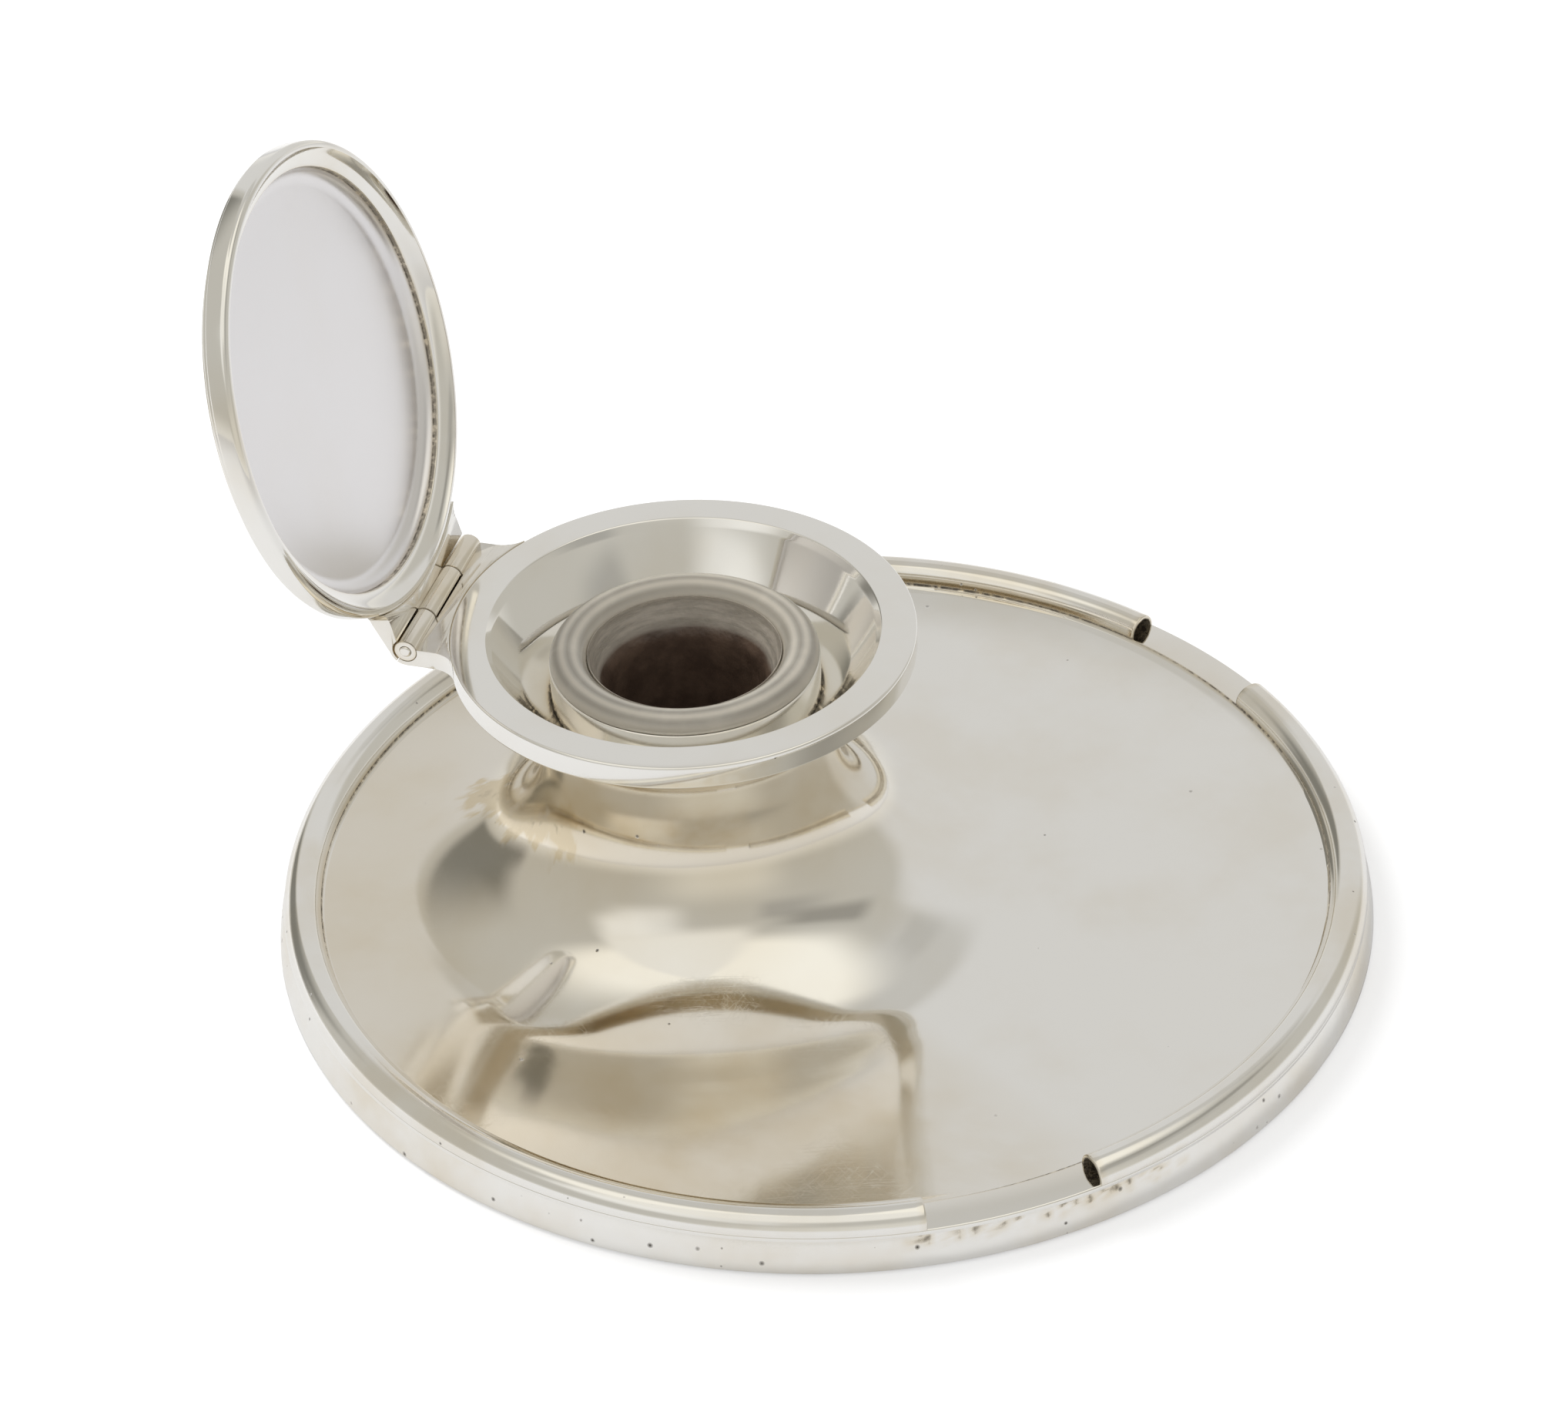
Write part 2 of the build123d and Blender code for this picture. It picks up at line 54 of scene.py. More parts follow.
lens.shift_y = -0.0046
viewpoint = bpy.data.objects.new("viewpoint", lens)
viewpoint.location = (-0.5330, -0.1592, 0.4455)
turn_to_heading = Matrix.Rotation(view_heading - math.pi / 2, 3, "Z")
tip_down = Matrix.Rotation(math.pi / 2 - view_down, 3, "X")
roll = Matrix.Rotation(view_roll, 3, "Z")
viewpoint.rotation_euler = (turn_to_heading @ tip_down @ roll).to_euler()
bpy.context.scene.collection.objects.link(viewpoint)
bpy.context.scene.camera = viewpoint
bpy.context.scene.view_settings.view_transform = "Standard"
bpy.context.scene.cycles.max_bounces = 24
bpy.context.scene.cycles.glossy_bounces = 16
bpy.context.scene.cycles.transmission_bounces = 24


# The studio. White screens behind the inkwell, a greyer room with a cream ceiling behind
# the viewer with darker furniture low down on its left, and a white table top.
def node(tree, kind, inputs=None, **settings):
    """Adds a shader node. An input is a plain value or another node's output."""
    made = tree.nodes.new("ShaderNode" + kind)
    for name, value in settings.items():
        setattr(made, name, value)
    for name, value in (inputs or {}).items():
        if isinstance(value, bpy.types.NodeSocket):
            tree.links.new(value, made.inputs[name])
        else:
            made.inputs[name].default_value = value
    return made


def maths(tree, operation, *values, **settings):
    """A number that a Math node works out from plain values or other nodes' outputs."""
    return node(tree, "Math", dict(enumerate(values)), operation=operation, **settings).outputs[0]


def heading_vector(heading, rise):
    """A direction from its heading round from +X and its rise above the table, in degrees."""
    heading = math.radians(heading)
    rise = math.radians(rise)
    flat = math.cos(rise)
    return Vector((flat * math.cos(heading), flat * math.sin(heading), math.sin(rise)))


def along_heading(tree, direction, heading):
    """How far a direction points along a level heading."""
    return node(tree, "VectorMath", {0: direction, 1: heading_vector(heading, 0)},
                operation="DOT_PRODUCT").outputs["Value"]


def ramp(tree, value, low, high, start=0.0, end=1.0, kind="SMOOTHSTEP"):
    """Goes from its start to its end while a value goes from low to high."""
    return node(tree, "MapRange", {"Value": value, "From Min": low, "From Max": high,
                                   "To Min": start, "To Max": end},
                interpolation_type=kind).outputs["Result"]


def between(tree, value, low, high, low_edge, high_edge):
    """A mask that is one between two values and fades over an edge outside each."""
    rises = ramp(tree, value, low - low_edge, low)
    falls = ramp(tree, value, high, high + high_edge, 1.0, 0.0)
    return maths(tree, "MULTIPLY", rises, falls)


def blend_colours(tree, factor, first, second):
    """Mixes two colours, each a value or an output."""
    mixed = node(tree, "Mix", {0: factor}, data_type="RGBA")
    for socket, value in ((6, first), (7, second)):
        if isinstance(value, bpy.types.NodeSocket):
            tree.links.new(value, mixed.inputs[socket])
        else:
            mixed.inputs[socket].default_value = (*value, 1.0)
    return mixed.outputs[2]


screen_white = (0.70, 0.695, 0.68)
table_far = (0.85, 0.84, 0.80)
viewer_side = 197.53
tent = bpy.data.worlds.new("tent")
bpy.context.scene.world = tent
tent.use_nodes = True
tree = tent.node_tree
tree.nodes.clear()
direction = node(tree, "TexCoord").outputs["Generated"]
toward = along_heading(tree, direction, viewer_side)
aside = along_heading(tree, direction, viewer_side + 90)
swing = maths(tree, "DEGREES", maths(tree, "ARCTAN2", aside, toward))
upward = node(tree, "SeparateXYZ", {0: direction}).outputs["Z"]
rise = maths(tree, "DEGREES", maths(tree, "ARCSINE", upward))


def side_of_room(colour, paint, swings, rises):
    """Paints a patch of the studio between two swings from the viewer and two rises; each
    pair is followed by the widths over which its two edges fade."""
    mask = maths(tree, "MULTIPLY", between(tree, swing, *swings), between(tree, rise, *rises))
    return blend_colours(tree, mask, colour, paint)


colour = screen_white
colour = side_of_room(colour, (0.58, 0.57, 0.54), (-200, 200, 1, 1), (47, 95, 5, 1))
colour = side_of_room(colour, (0.52, 0.51, 0.48), (140, 146, 5, 6), (48, 51, 4, 4))
colour = side_of_room(colour, (0.55, 0.535, 0.49), (-152, 126, 3, 12), (-5, 90, 1, 1))
colour = side_of_room(colour, (0.72, 0.70, 0.64), (5, 35, 45, 35), (-5, 14, 1, 22))
colour = side_of_room(colour, (0.80, 0.79, 0.75), (-42, -25, 25, 25), (38, 48, 12, 12))
colour = side_of_room(colour, (0.90, 0.89, 0.85), (-56, -44, 20, 25), (44, 50, 12, 10))
colour = side_of_room(colour, (0.42, 0.41, 0.38), (50, 60, 16, 40), (38, 42, 9, 6))
colour = side_of_room(colour, (0.28, 0.27, 0.245), (-133, -123, 4, 8), (3, 9, 4, 12))
colour = side_of_room(colour, (0.23, 0.225, 0.20), (-149, -130, 3, 16), (10, 24, 4, 22))
colour = side_of_room(colour, (0.99, 0.96, 0.87), (-105, 150, 45, 12), (65, 95, 12, 1))
colour = side_of_room(colour, (0.34, 0.33, 0.30), (78, 108, 36, 16), (46, 49, 7, 5))
colour = side_of_room(colour, (0.88, 0.86, 0.80), (-60, 25, 15, 25), (57, 95, 12, 1))
colour = blend_colours(tree, between(tree, rise, -90, -4, 1, 13), colour, table_far)
tent_seen = node(tree, "Background", {"Color": colour, "Strength": 1.0})
tent_white = node(tree, "Background", {"Color": (1, 1, 1, 1), "Strength": 1.0})
tent_light = node(tree, "Background", {"Color": (1, 1, 1, 1), "Strength": 0.62})
rays = node(tree, "LightPath").outputs
mirror_or_glass = maths(tree, "MAXIMUM", rays["Is Glossy Ray"], rays["Is Transmission Ray"])
lit = node(tree, "MixShader", {0: mirror_or_glass, 1: tent_light.outputs[0],
                               2: tent_seen.outputs[0]})
seen = node(tree, "MixShader", {0: rays["Is Camera Ray"], 1: lit.outputs[0],
                                2: tent_white.outputs[0]})
node(tree, "OutputWorld", {"Surface": seen.outputs[0]})

lamp = bpy.data.lights.new("soft_lamp", "AREA")
lamp.shape = "DISK"
lamp.size = 0.7
lamp.energy = 6.0
lamp_object = bpy.data.objects.new("soft_lamp", lamp)
lamp_object.location = (0.30, 0.72, 0.85)
lamp_object.rotation_euler = (-lamp_object.location).to_track_quat("-Z", "Y").to_euler()
lamp_object.visible_glossy = False
lamp_object.visible_transmission = False
bpy.context.scene.collection.objects.link(lamp_object)

table_half = 3.0
table_mesh = bpy.data.meshes.new("table_top")
table_mesh.from_pydata([(-table_half, -table_half, 0), (table_half, -table_half, 0),
                        (table_half, table_half, 0), (-table_half, table_half, 0)], [],
                       [(0, 1, 2, 3)])
table = bpy.data.objects.new("table_top", table_mesh)
bpy.context.scene.collection.objects.link(table)
table_white = bpy.data.materials.new("table_white")
table_white.use_nodes = True
tree = table_white.node_tree
tree.nodes.clear()
rays = node(tree, "LightPath").outputs
paint = node(tree, "BsdfDiffuse", {"Color": (0.8, 0.8, 0.8, 1)})
glow_seen = 0.42
glow_mirrored = 0.15
mirror_or_glass = maths(tree, "MAXIMUM", rays["Is Glossy Ray"], rays["Is Transmission Ray"])
glow_level = maths(tree, "MULTIPLY", rays["Is Camera Ray"], glow_seen)
glow_level = maths(tree, "MULTIPLY_ADD", mirror_or_glass, glow_mirrored, glow_level)
glow = node(tree, "Emission", {"Color": (1, 1, 1, 1), "Strength": glow_level})
both = node(tree, "AddShader", {0: paint.outputs[0], 1: glow.outputs[0]})
node(tree, "OutputMaterial", {"Surface": both.outputs[0]})
table_mesh.materials.append(table_white)


# The stuffing and closing of the base, all hidden when it stands: cast plaster in the
# neck, a turned hardwood disc under it, and a pad of green baize glued to the disc.
def group(name, takes, gives):
    """A shader node group with named inputs and outputs, and its two end nodes."""
    made = bpy.data.node_groups.new(name, "ShaderNodeTree")
    for label, kind, value in takes:
        socket = made.interface.new_socket(label, in_out="INPUT", socket_type="NodeSocket" + kind)
        if value is not None:
            socket.default_value = value
    for label, kind in gives:
        made.interface.new_socket(label, in_out="OUTPUT", socket_type="NodeSocket" + kind)
    entry = made.nodes.new("NodeGroupInput").outputs
    leave = made.nodes.new("NodeGroupOutput").inputs
    return made, entry, leave


def place_group(tree, made, inputs):
    """Places a node group in a material and returns its outputs."""
    placed = tree.nodes.new("ShaderNodeGroup")
    placed.node_tree = made
    for name, value in inputs.items():
        if isinstance(value, bpy.types.NodeSocket):
            tree.links.new(value, placed.inputs[name])
        else:
            placed.inputs[name].default_value = value
    return placed.outputs


def new_material(name):
    """An empty node material with its tree and the piece's own coordinates."""
    material = bpy.data.materials.new(name)
    material.use_nodes = True
    material.node_tree.nodes.clear()
    place = node(material.node_tree, "TexCoord").outputs["Object"]
    return material, material.node_tree, place


def finish_material(tree, shader):
    """Joins the material's shader to its output."""
    node(tree, "OutputMaterial", {"Surface": shader.outputs[0]})


cloudy, entry, leave = group("cloudy", [("Vector", "Vector", None), ("Scale", "Float", 100.0),
                                        ("Low", "Float", 0.4), ("High", "Float", 0.6)],
                             [("Mask", "Float")])
cloud = node(cloudy, "TexNoise", {"Vector": entry["Vector"], "Scale": entry["Scale"],
                                  "Detail": 4.0, "Roughness": 0.55})
cloud_cut = ramp(cloudy, cloud.outputs["Fac"], entry["Low"], entry["High"])
cloudy.links.new(cloud_cut, leave["Mask"])


def plain_matt(name, light, dark, scale, roughness, depth):
    """A dull two-tone material with a fine grainy surface."""
    material, tree, place = new_material(name)
    tone = place_group(tree, cloudy, {"Vector": place, "Scale": scale, "Low": 0.3, "High": 0.7})
    colour = blend_colours(tree, tone["Mask"], light, dark)
    grain = node(tree, "TexNoise", {"Vector": place, "Scale": scale * 8, "Detail": 5.0})
    bump = node(tree, "Bump", {"Height": grain.outputs["Fac"], "Strength": 0.6,
                               "Distance": depth})
    shader = node(tree, "BsdfPrincipled", {"Base Color": colour, "Roughness": roughness,
                                           "Normal": bump.outputs["Normal"]})
    finish_material(tree, shader)
    return material


mm = 0.001
plaster = plain_matt("cast_plaster", (0.80, 0.78, 0.72), (0.68, 0.65, 0.58), scale=90.0,
                     roughness=0.9, depth=0.2 * mm)

board_wood, tree, place = new_material("stained_hardwood")
along = node(tree, "Mapping", {"Vector": place, "Scale": (14.0, 160.0, 160.0)}).outputs[0]
rings = node(tree, "TexNoise", {"Vector": along, "Scale": 1.0, "Detail": 6.0, "Distortion": 1.2})
wood_colour = blend_colours(tree, rings.outputs["Fac"], (0.10, 0.045, 0.018), (0.30, 0.15, 0.07))
grain_bump = node(tree, "Bump", {"Height": rings.outputs["Fac"], "Strength": 0.5,
                                 "Distance": 0.2 * mm})
board_shader = node(tree, "BsdfPrincipled", {"Base Color": wood_colour, "Roughness": 0.5,
                                             "Normal": grain_bump.outputs["Normal"]})
finish_material(tree, board_shader)
for solid, finish in (("plaster_fill", plaster), ("base_board", board_wood)):
    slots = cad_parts[solid].data.materials
    slots.clear()
    slots.append(finish)


def eased(corners):
    """A section outline with its corners rounded; a corner is (across, up, radius)."""
    points = []
    for i, corner in enumerate(corners):
        here = Vector(corner[:2])
        if len(corner) < 3:
            points.append(tuple(here))
            continue
        before = (Vector(corners[i - 1][:2]) - here).normalized()
        after = (Vector(corners[(i + 1) % len(corners)][:2]) - here).normalized()
        half = before.angle(after) / 2
        centre = here + (before + after).normalized() * corner[2] / math.sin(half)
        first = here + before * corner[2] / math.tan(half) - centre
        last = here + after * corner[2] / math.tan(half) - centre
        for step in range(6):
            swung = first.lerp(last, step / 5).normalized() * corner[2]
            points.append(tuple(centre + swung))
    return points


def turned(section, middle=(0, 0), around=288, dirt=(), spread=0.5 * mm):
    """Spins a section of (across, up) points into a mesh. One that starts and ends on the
    axis closes there. Dirt gathers round the section points named in dirt."""
    on_axis = section[0][0] < 1e-6
    vertices = []
    soiling = []
    rows = []
    for r, z in section:
        count = 1 if r < 1e-6 else around
        rows.append((len(vertices), count))
        for i in range(count):
            angle = 2 * math.pi * i / around
            vertices.append((middle[0] + r * math.cos(angle), middle[1] + r * math.sin(angle), z))
            soiling.append(dirt_at(r, z, dirt, spread))
    faces = []
    last = len(rows) if not on_axis else len(rows) - 1
    for k in range(last):
        (a, count_a), (b, count_b) = rows[k], rows[(k + 1) % len(rows)]
        for i in range(around):
            j = (i + 1) % around
            if count_a == 1:
                faces.append((a, b + i, b + j))
            elif count_b == 1:
                faces.append((a + i, b, a + j))
            else:
                faces.append((a + i, b + i, b + j, a + j))
    return made_mesh(vertices, faces, soiling)


def dirt_at(across, up, dirt, spread):
    """How much dirt lies at a section point: one at a named crease, fading away from it."""
    most = 0.0
    for crease in dirt:
        gap = math.hypot(across - crease[0], up - crease[1]) / spread
        most = max(most, math.exp(-gap * gap))
    return most


def made_mesh(vertices, faces, soiling=None):
    """A smooth mesh with its normals outward and its dirt kept as an attribute."""
    mesh = bpy.data.meshes.new("made")
    mesh.from_pydata(vertices, [], faces)
    work = bmesh.new()
    work.from_mesh(mesh)
    bmesh.ops.recalc_face_normals(work, faces=work.faces)
    work.to_mesh(mesh)
    work.free()
    if soiling:
        note_on(mesh, "dirt", soiling)
    mesh.shade_smooth()
    mesh.set_sharp_from_angle(angle=math.radians(40))
    return mesh


def note_on(mesh, name, values):
    """Keeps a number for each vertex under a name that the materials read."""
    mesh.attributes.new(name, "FLOAT", "POINT").data.foreach_set("value", values)


def dress(name, mesh, material, body, slot, *nodes):
    """Puts a finished mesh in the scene, riding on its body in place of its solids."""
    mesh.name = name
    piece = bpy.data.objects.new(name, mesh)
    bpy.context.scene.collection.objects.link(piece)
    mesh.materials.append(material)
    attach(piece, body)
    if nodes:
        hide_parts(*nodes)
    return piece


pad_low, pad_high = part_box("baize_pad")
pad_r = pad_high.x
pad_edge = 0.3 * mm
pad_section = eased([(0, pad_low.z), (pad_r, pad_low.z, pad_edge), (pad_r, pad_high.z, pad_edge),
                     (0, pad_high.z)])
baize_green = plain_matt("green_baize", (0.03, 0.11, 0.06), (0.015, 0.06, 0.035), scale=260.0,
                         roughness=1.0, depth=0.25 * mm)
baize = dress("baize", turned(pad_section), baize_green, "base", "baize", "baize_pad")


# The tray with its waisted neck. One heavy sheet of silver, spun and planished, whose
# neck stands back of the middle; a low step carries the rim floor for the bead.
hairlines, entry, leave = group("hairlines", [("Vector", "Vector", None), ("Scale", "Float", 60.0),
                                              ("Thickness", "Float", 0.01)], [("Mask", "Float")])
lines = None
for angle, shift in ((0.3, 0.0), (1.25, 3.0), (2.3, 7.0)):
    swung = node(hairlines, "VectorRotate", {"Vector": entry["Vector"], "Angle": angle},
                 rotation_type="Z_AXIS").outputs[0]
    drawn = node(hairlines, "Mapping", {"Vector": swung, "Location": (shift, shift, 0.0),
                                        "Scale": (0.06, 1.0, 0.5)}).outputs[0]
    streaks = node(hairlines, "TexNoise", {"Vector": drawn, "Scale": entry["Scale"],
                                           "Detail": 3.0}).outputs["Fac"]
    off_middle = maths(hairlines, "SUBTRACT", streaks, 0.5)
    size = maths(hairlines, "ABSOLUTE", off_middle)
    line = ramp(hairlines, size, 0.0, entry["Thickness"], 1.0, 0.0, "LINEAR")
    if lines is None:
        lines = line
    else:
        lines = maths(hairlines, "MAXIMUM", lines, line)
broken = place_group(hairlines, cloudy, {"Vector": entry["Vector"], "Scale": 55.0, "Low": 0.45,
                                         "High": 0.62})
lines = maths(hairlines, "MULTIPLY", lines, broken["Mask"])
hairlines.links.new(lines, leave["Mask"])

pits, entry, leave = group("pits", [("Vector", "Vector", None), ("Spacing", "Float", 3 * mm),
                                    ("Share", "Float", 0.1), ("Size", "Float", 0.08)],
                           [("Mask", "Float")])
cells = maths(pits, "DIVIDE", 1.0, entry["Spacing"])
cell = node(pits, "TexVoronoi", {"Vector": entry["Vector"], "Scale": cells})
luck = node(pits, "SeparateColor", {0: cell.outputs["Color"]}).outputs
chosen = maths(pits, "LESS_THAN", luck[0], entry["Share"])
reach = maths(pits, "MULTIPLY", entry["Size"], luck[1])
spot = ramp(pits, cell.outputs["Distance"], 0.0, reach, 1.15, 0.0, "LINEAR")
spot = maths(pits, "MULTIPLY", spot, chosen, use_clamp=True)
pits.links.new(spot, leave["Mask"])

silver_tone = (0.90, 0.885, 0.85)
film_tone = (0.72, 0.62, 0.45)
crevice_tone = (0.060, 0.048, 0.036)


def silver(name, roughness=0.07, scratches=0.5, film=0.5, pit_share=0.03, pit_size=0.10,
           wave=0.02 * mm, wave_size=30 * mm, tone=silver_tone):
    """Old polished silver: hairlines, a warm film in patches, small pits, dirt in creases
    and the slow waviness that the hammer leaves."""
    material, tree, place = new_material(name)
    # The dirt attribute holds real crease dirt and also painted shade in the bead's hollow and
    # under the tray, and a painted reflection on the tray.
    dirt = node(tree, "Attribute", attribute_name="dirt").outputs["Fac"]
    lines = place_group(tree, hairlines, {"Vector": place, "Scale": 900.0, "Thickness": 0.012})
    clouds = place_group(tree, cloudy, {"Vector": place, "Scale": 38.0, "Low": 0.42, "High": 0.75})
    specks = place_group(tree, cloudy, {"Vector": place, "Scale": 900.0, "Low": 0.28, "High": 0.6})
    marks = place_group(tree, pits, {"Vector": place, "Spacing": 2.4 * mm, "Share": pit_share,
                                     "Size": pit_size})
    # The film attribute holds real warm film and also painted reflections on the tray.
    laid_film = node(tree, "Attribute", attribute_name="film").outputs["Fac"]
    film_mask = maths(tree, "MULTIPLY_ADD", clouds["Mask"], film, laid_film)
    half_dirt = maths(tree, "MULTIPLY_ADD", dirt, 0.8, film_mask, use_clamp=True)
    colour = blend_colours(tree, half_dirt, tone, film_tone)
    packed = ramp(tree, dirt, 0.45, 1.0)
    uneven_dirt = maths(tree, "MULTIPLY", packed, specks["Mask"])
    dark = maths(tree, "MAXIMUM", uneven_dirt, marks["Mask"])
    colour = blend_colours(tree, dark, colour, crevice_tone)
    frost = node(tree, "Attribute", attribute_name="frost").outputs["Fac"]
    worn = roughness
    for mask, dulling in ((lines["Mask"], 0.10 * scratches), (film_mask, 0.06), (dark, 0.5),
                          (frost, 0.6)):
        worn = maths(tree, "MULTIPLY_ADD", mask, dulling, worn)
    metal = maths(tree, "SUBTRACT", 1.0, dark)
    swell = node(tree, "TexNoise", {"Vector": place, "Scale": 1 / wave_size,
                                    "Detail": 1.0}).outputs["Fac"]
    height = maths(tree, "MULTIPLY", swell, wave)
    for mask, depth in ((lines["Mask"], 0.0006 * mm * scratches), (marks["Mask"], 0.06 * mm)):
        height = maths(tree, "MULTIPLY_ADD", mask, -depth, height)
    bump = node(tree, "Bump", {"Height": height, "Strength": 1.0, "Distance": 1.0})
    shader = node(tree, "BsdfPrincipled", {"Base Color": colour, "Metallic": metal,
                                           "Roughness": worn, "Normal": bump.outputs["Normal"]})
    finish_material(tree, shader)
    return material


def bend(centre, radius, start, end, step=3.0):
    """Points along an arc of a section, its angles in degrees."""
    count = max(2, math.ceil(abs(end - start) / step))
    points = []
    for i in range(count + 1):
        angle = math.radians(start + (end - start) * i / count)
        points.append((centre[0] + radius * math.cos(angle), centre[1] + radius * math.sin(angle)))
    return points


sheet = 0.8 * mm
gap = 0.3 * mm
tray_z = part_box("base_board")[1].z + gap + sheet
wall_top_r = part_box("rim_bead_back")[1].x
bead_r = 3.0 * mm
bead_middle_r = wall_top_r - bead_r
tray_r = bead_middle_r - bead_r
rim_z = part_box("rim_bead_back")[0].z
tray_flat_r = 52.0 * mm
tray_hollow = 1.7 * mm
tray_edge_r = tray_r - 0.25 * mm
tray_curve = (tray_edge_r - tray_flat_r) ** 2 / (2 * tray_hollow)
waist_r = 23.7 * mm
waist_z = tray_z + 24.8 * mm
flare_curve = 22.3 * mm
flare_turn = 64.0
foot_z = tray_z - 0.35 * mm
flare_drop = math.sin(math.radians(flare_turn))
foot_curve = (waist_z - flare_curve * flare_drop - foot_z) / (1 - flare_drop)
flare_side = math.cos(math.radians(flare_turn))
foot_middle_r = waist_r + flare_curve + (foot_curve - flare_curve) * flare_side
cup_low, cup_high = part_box("well_cup")
well_y = (cup_low.y + cup_high.y) / 2
well = (0, well_y)
collar_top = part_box("collar_dish")[1].z
collar_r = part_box("collar_dish")[1].x
flange_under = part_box("collar_band")[1].z
neck_top_r = collar_r - 1.6 * mm
neck_rise = flange_under - waist_z
neck_spread = neck_top_r - waist_r
neck_curve = (neck_rise ** 2 + neck_spread ** 2) / (2 * neck_spread)
neck_tilt = math.degrees(math.asin(neck_rise / neck_curve))


def blended(first, second, width):
    """The greater of two values, eased where they come closer than a width."""
    near = max(0.0, 1 - abs(first - second) / width)
    return max(first, second) + width * near ** 3 / 6


def tray_height(x, y):
    """The tray's face: flat in the middle, hollowed up towards its edge."""
    out = blended(math.hypot(x, y) - tray_flat_r, 0.0, 20 * mm)
    return tray_z + out ** 2 / (2 * tray_curve)


def inward(points, depth):
    """A run of section points moved in from its face by a sheet's thickness."""
    moved = []
    for i, (r, z) in enumerate(points):
        before = points[max(i - 1, 0)]
        after = points[min(i + 1, len(points) - 1)]
        run = Vector((after[0] - before[0], after[1] - before[1])).normalized()
        moved.append((r + run.y * depth, z - run.x * depth))
    return moved


def held(value, most=1.0):
    """A value kept from falling below nothing and from passing the most it may be."""
    return max(0.0, min(most, value))


dull_way = heading_vector(107.5, 0)
# The heading, towards the viewer, of a warm film painted on the tray before the neck: a painted
# reflection of the neck's tan flare.
bloom_way = heading_vector(204, 0)
# A ragged brown patch at the neck's back left, painted into the tray's dirt and film: a painted
# reflection of the collar and hinge.
stain_start = Vector((4, 59, 8)) * mm
stain_run = Vector((-23, -21, 14)) * mm
stain_half = 5 * mm


def tray_wear(here, height, r, way):
    """The dirt and the film at a place: warm up the flare, a mottled painted tan reflection of
    the neck on the tray before it towards the viewer, dull towards the back edge, and a
    ragged brown painted reflection of the collar and hinge at the neck's back left."""
    flare_share = (height - tray_z) / (waist_z - tray_z)
    blotch = 0.5 + 0.5 * noise.noise(here / (11 * mm))
    above_waist = held((height - waist_z) / (14 * mm))
    film = 0.6 * held(1.6 * flare_share - 0.35 + 0.35 * blotch)
    film *= 1 - 0.7 * above_waist
    mottled = 0.8 + 0.7 * noise.fractal(here / (12 * mm), 0.8, 2.0, 4)
    # Painted tan reflection of the neck, mottled, on the tray before it towards the viewer.
    before_neck = held((bloom_way.dot(way) - 0.84) / 0.10)
    past_foot = held((r - 38 * mm) / (12 * mm))
    film += 0.36 * mottled * before_neck * past_foot
    far_side = held((Vector((here.x, here.y, 0)).dot(dull_way) - 30 * mm) / (34 * mm))
    film += 0.5 * (0.7 + 0.3 * blotch) * far_side
    down_stain = held((here - stain_start).dot(stain_run) / stain_run.length_squared)
    off_stain = here - stain_start - stain_run * down_stain
    ragged = noise.fractal(here / (4 * mm), 0.7, 2.0, 5)
    stained = 1.0 - off_stain.length / stain_half + 0.6 * ragged
    # The painted reflection darkens the dirt and warms the film.
    return 0.6 * held(stained), max(film, held(2.5 * stained))


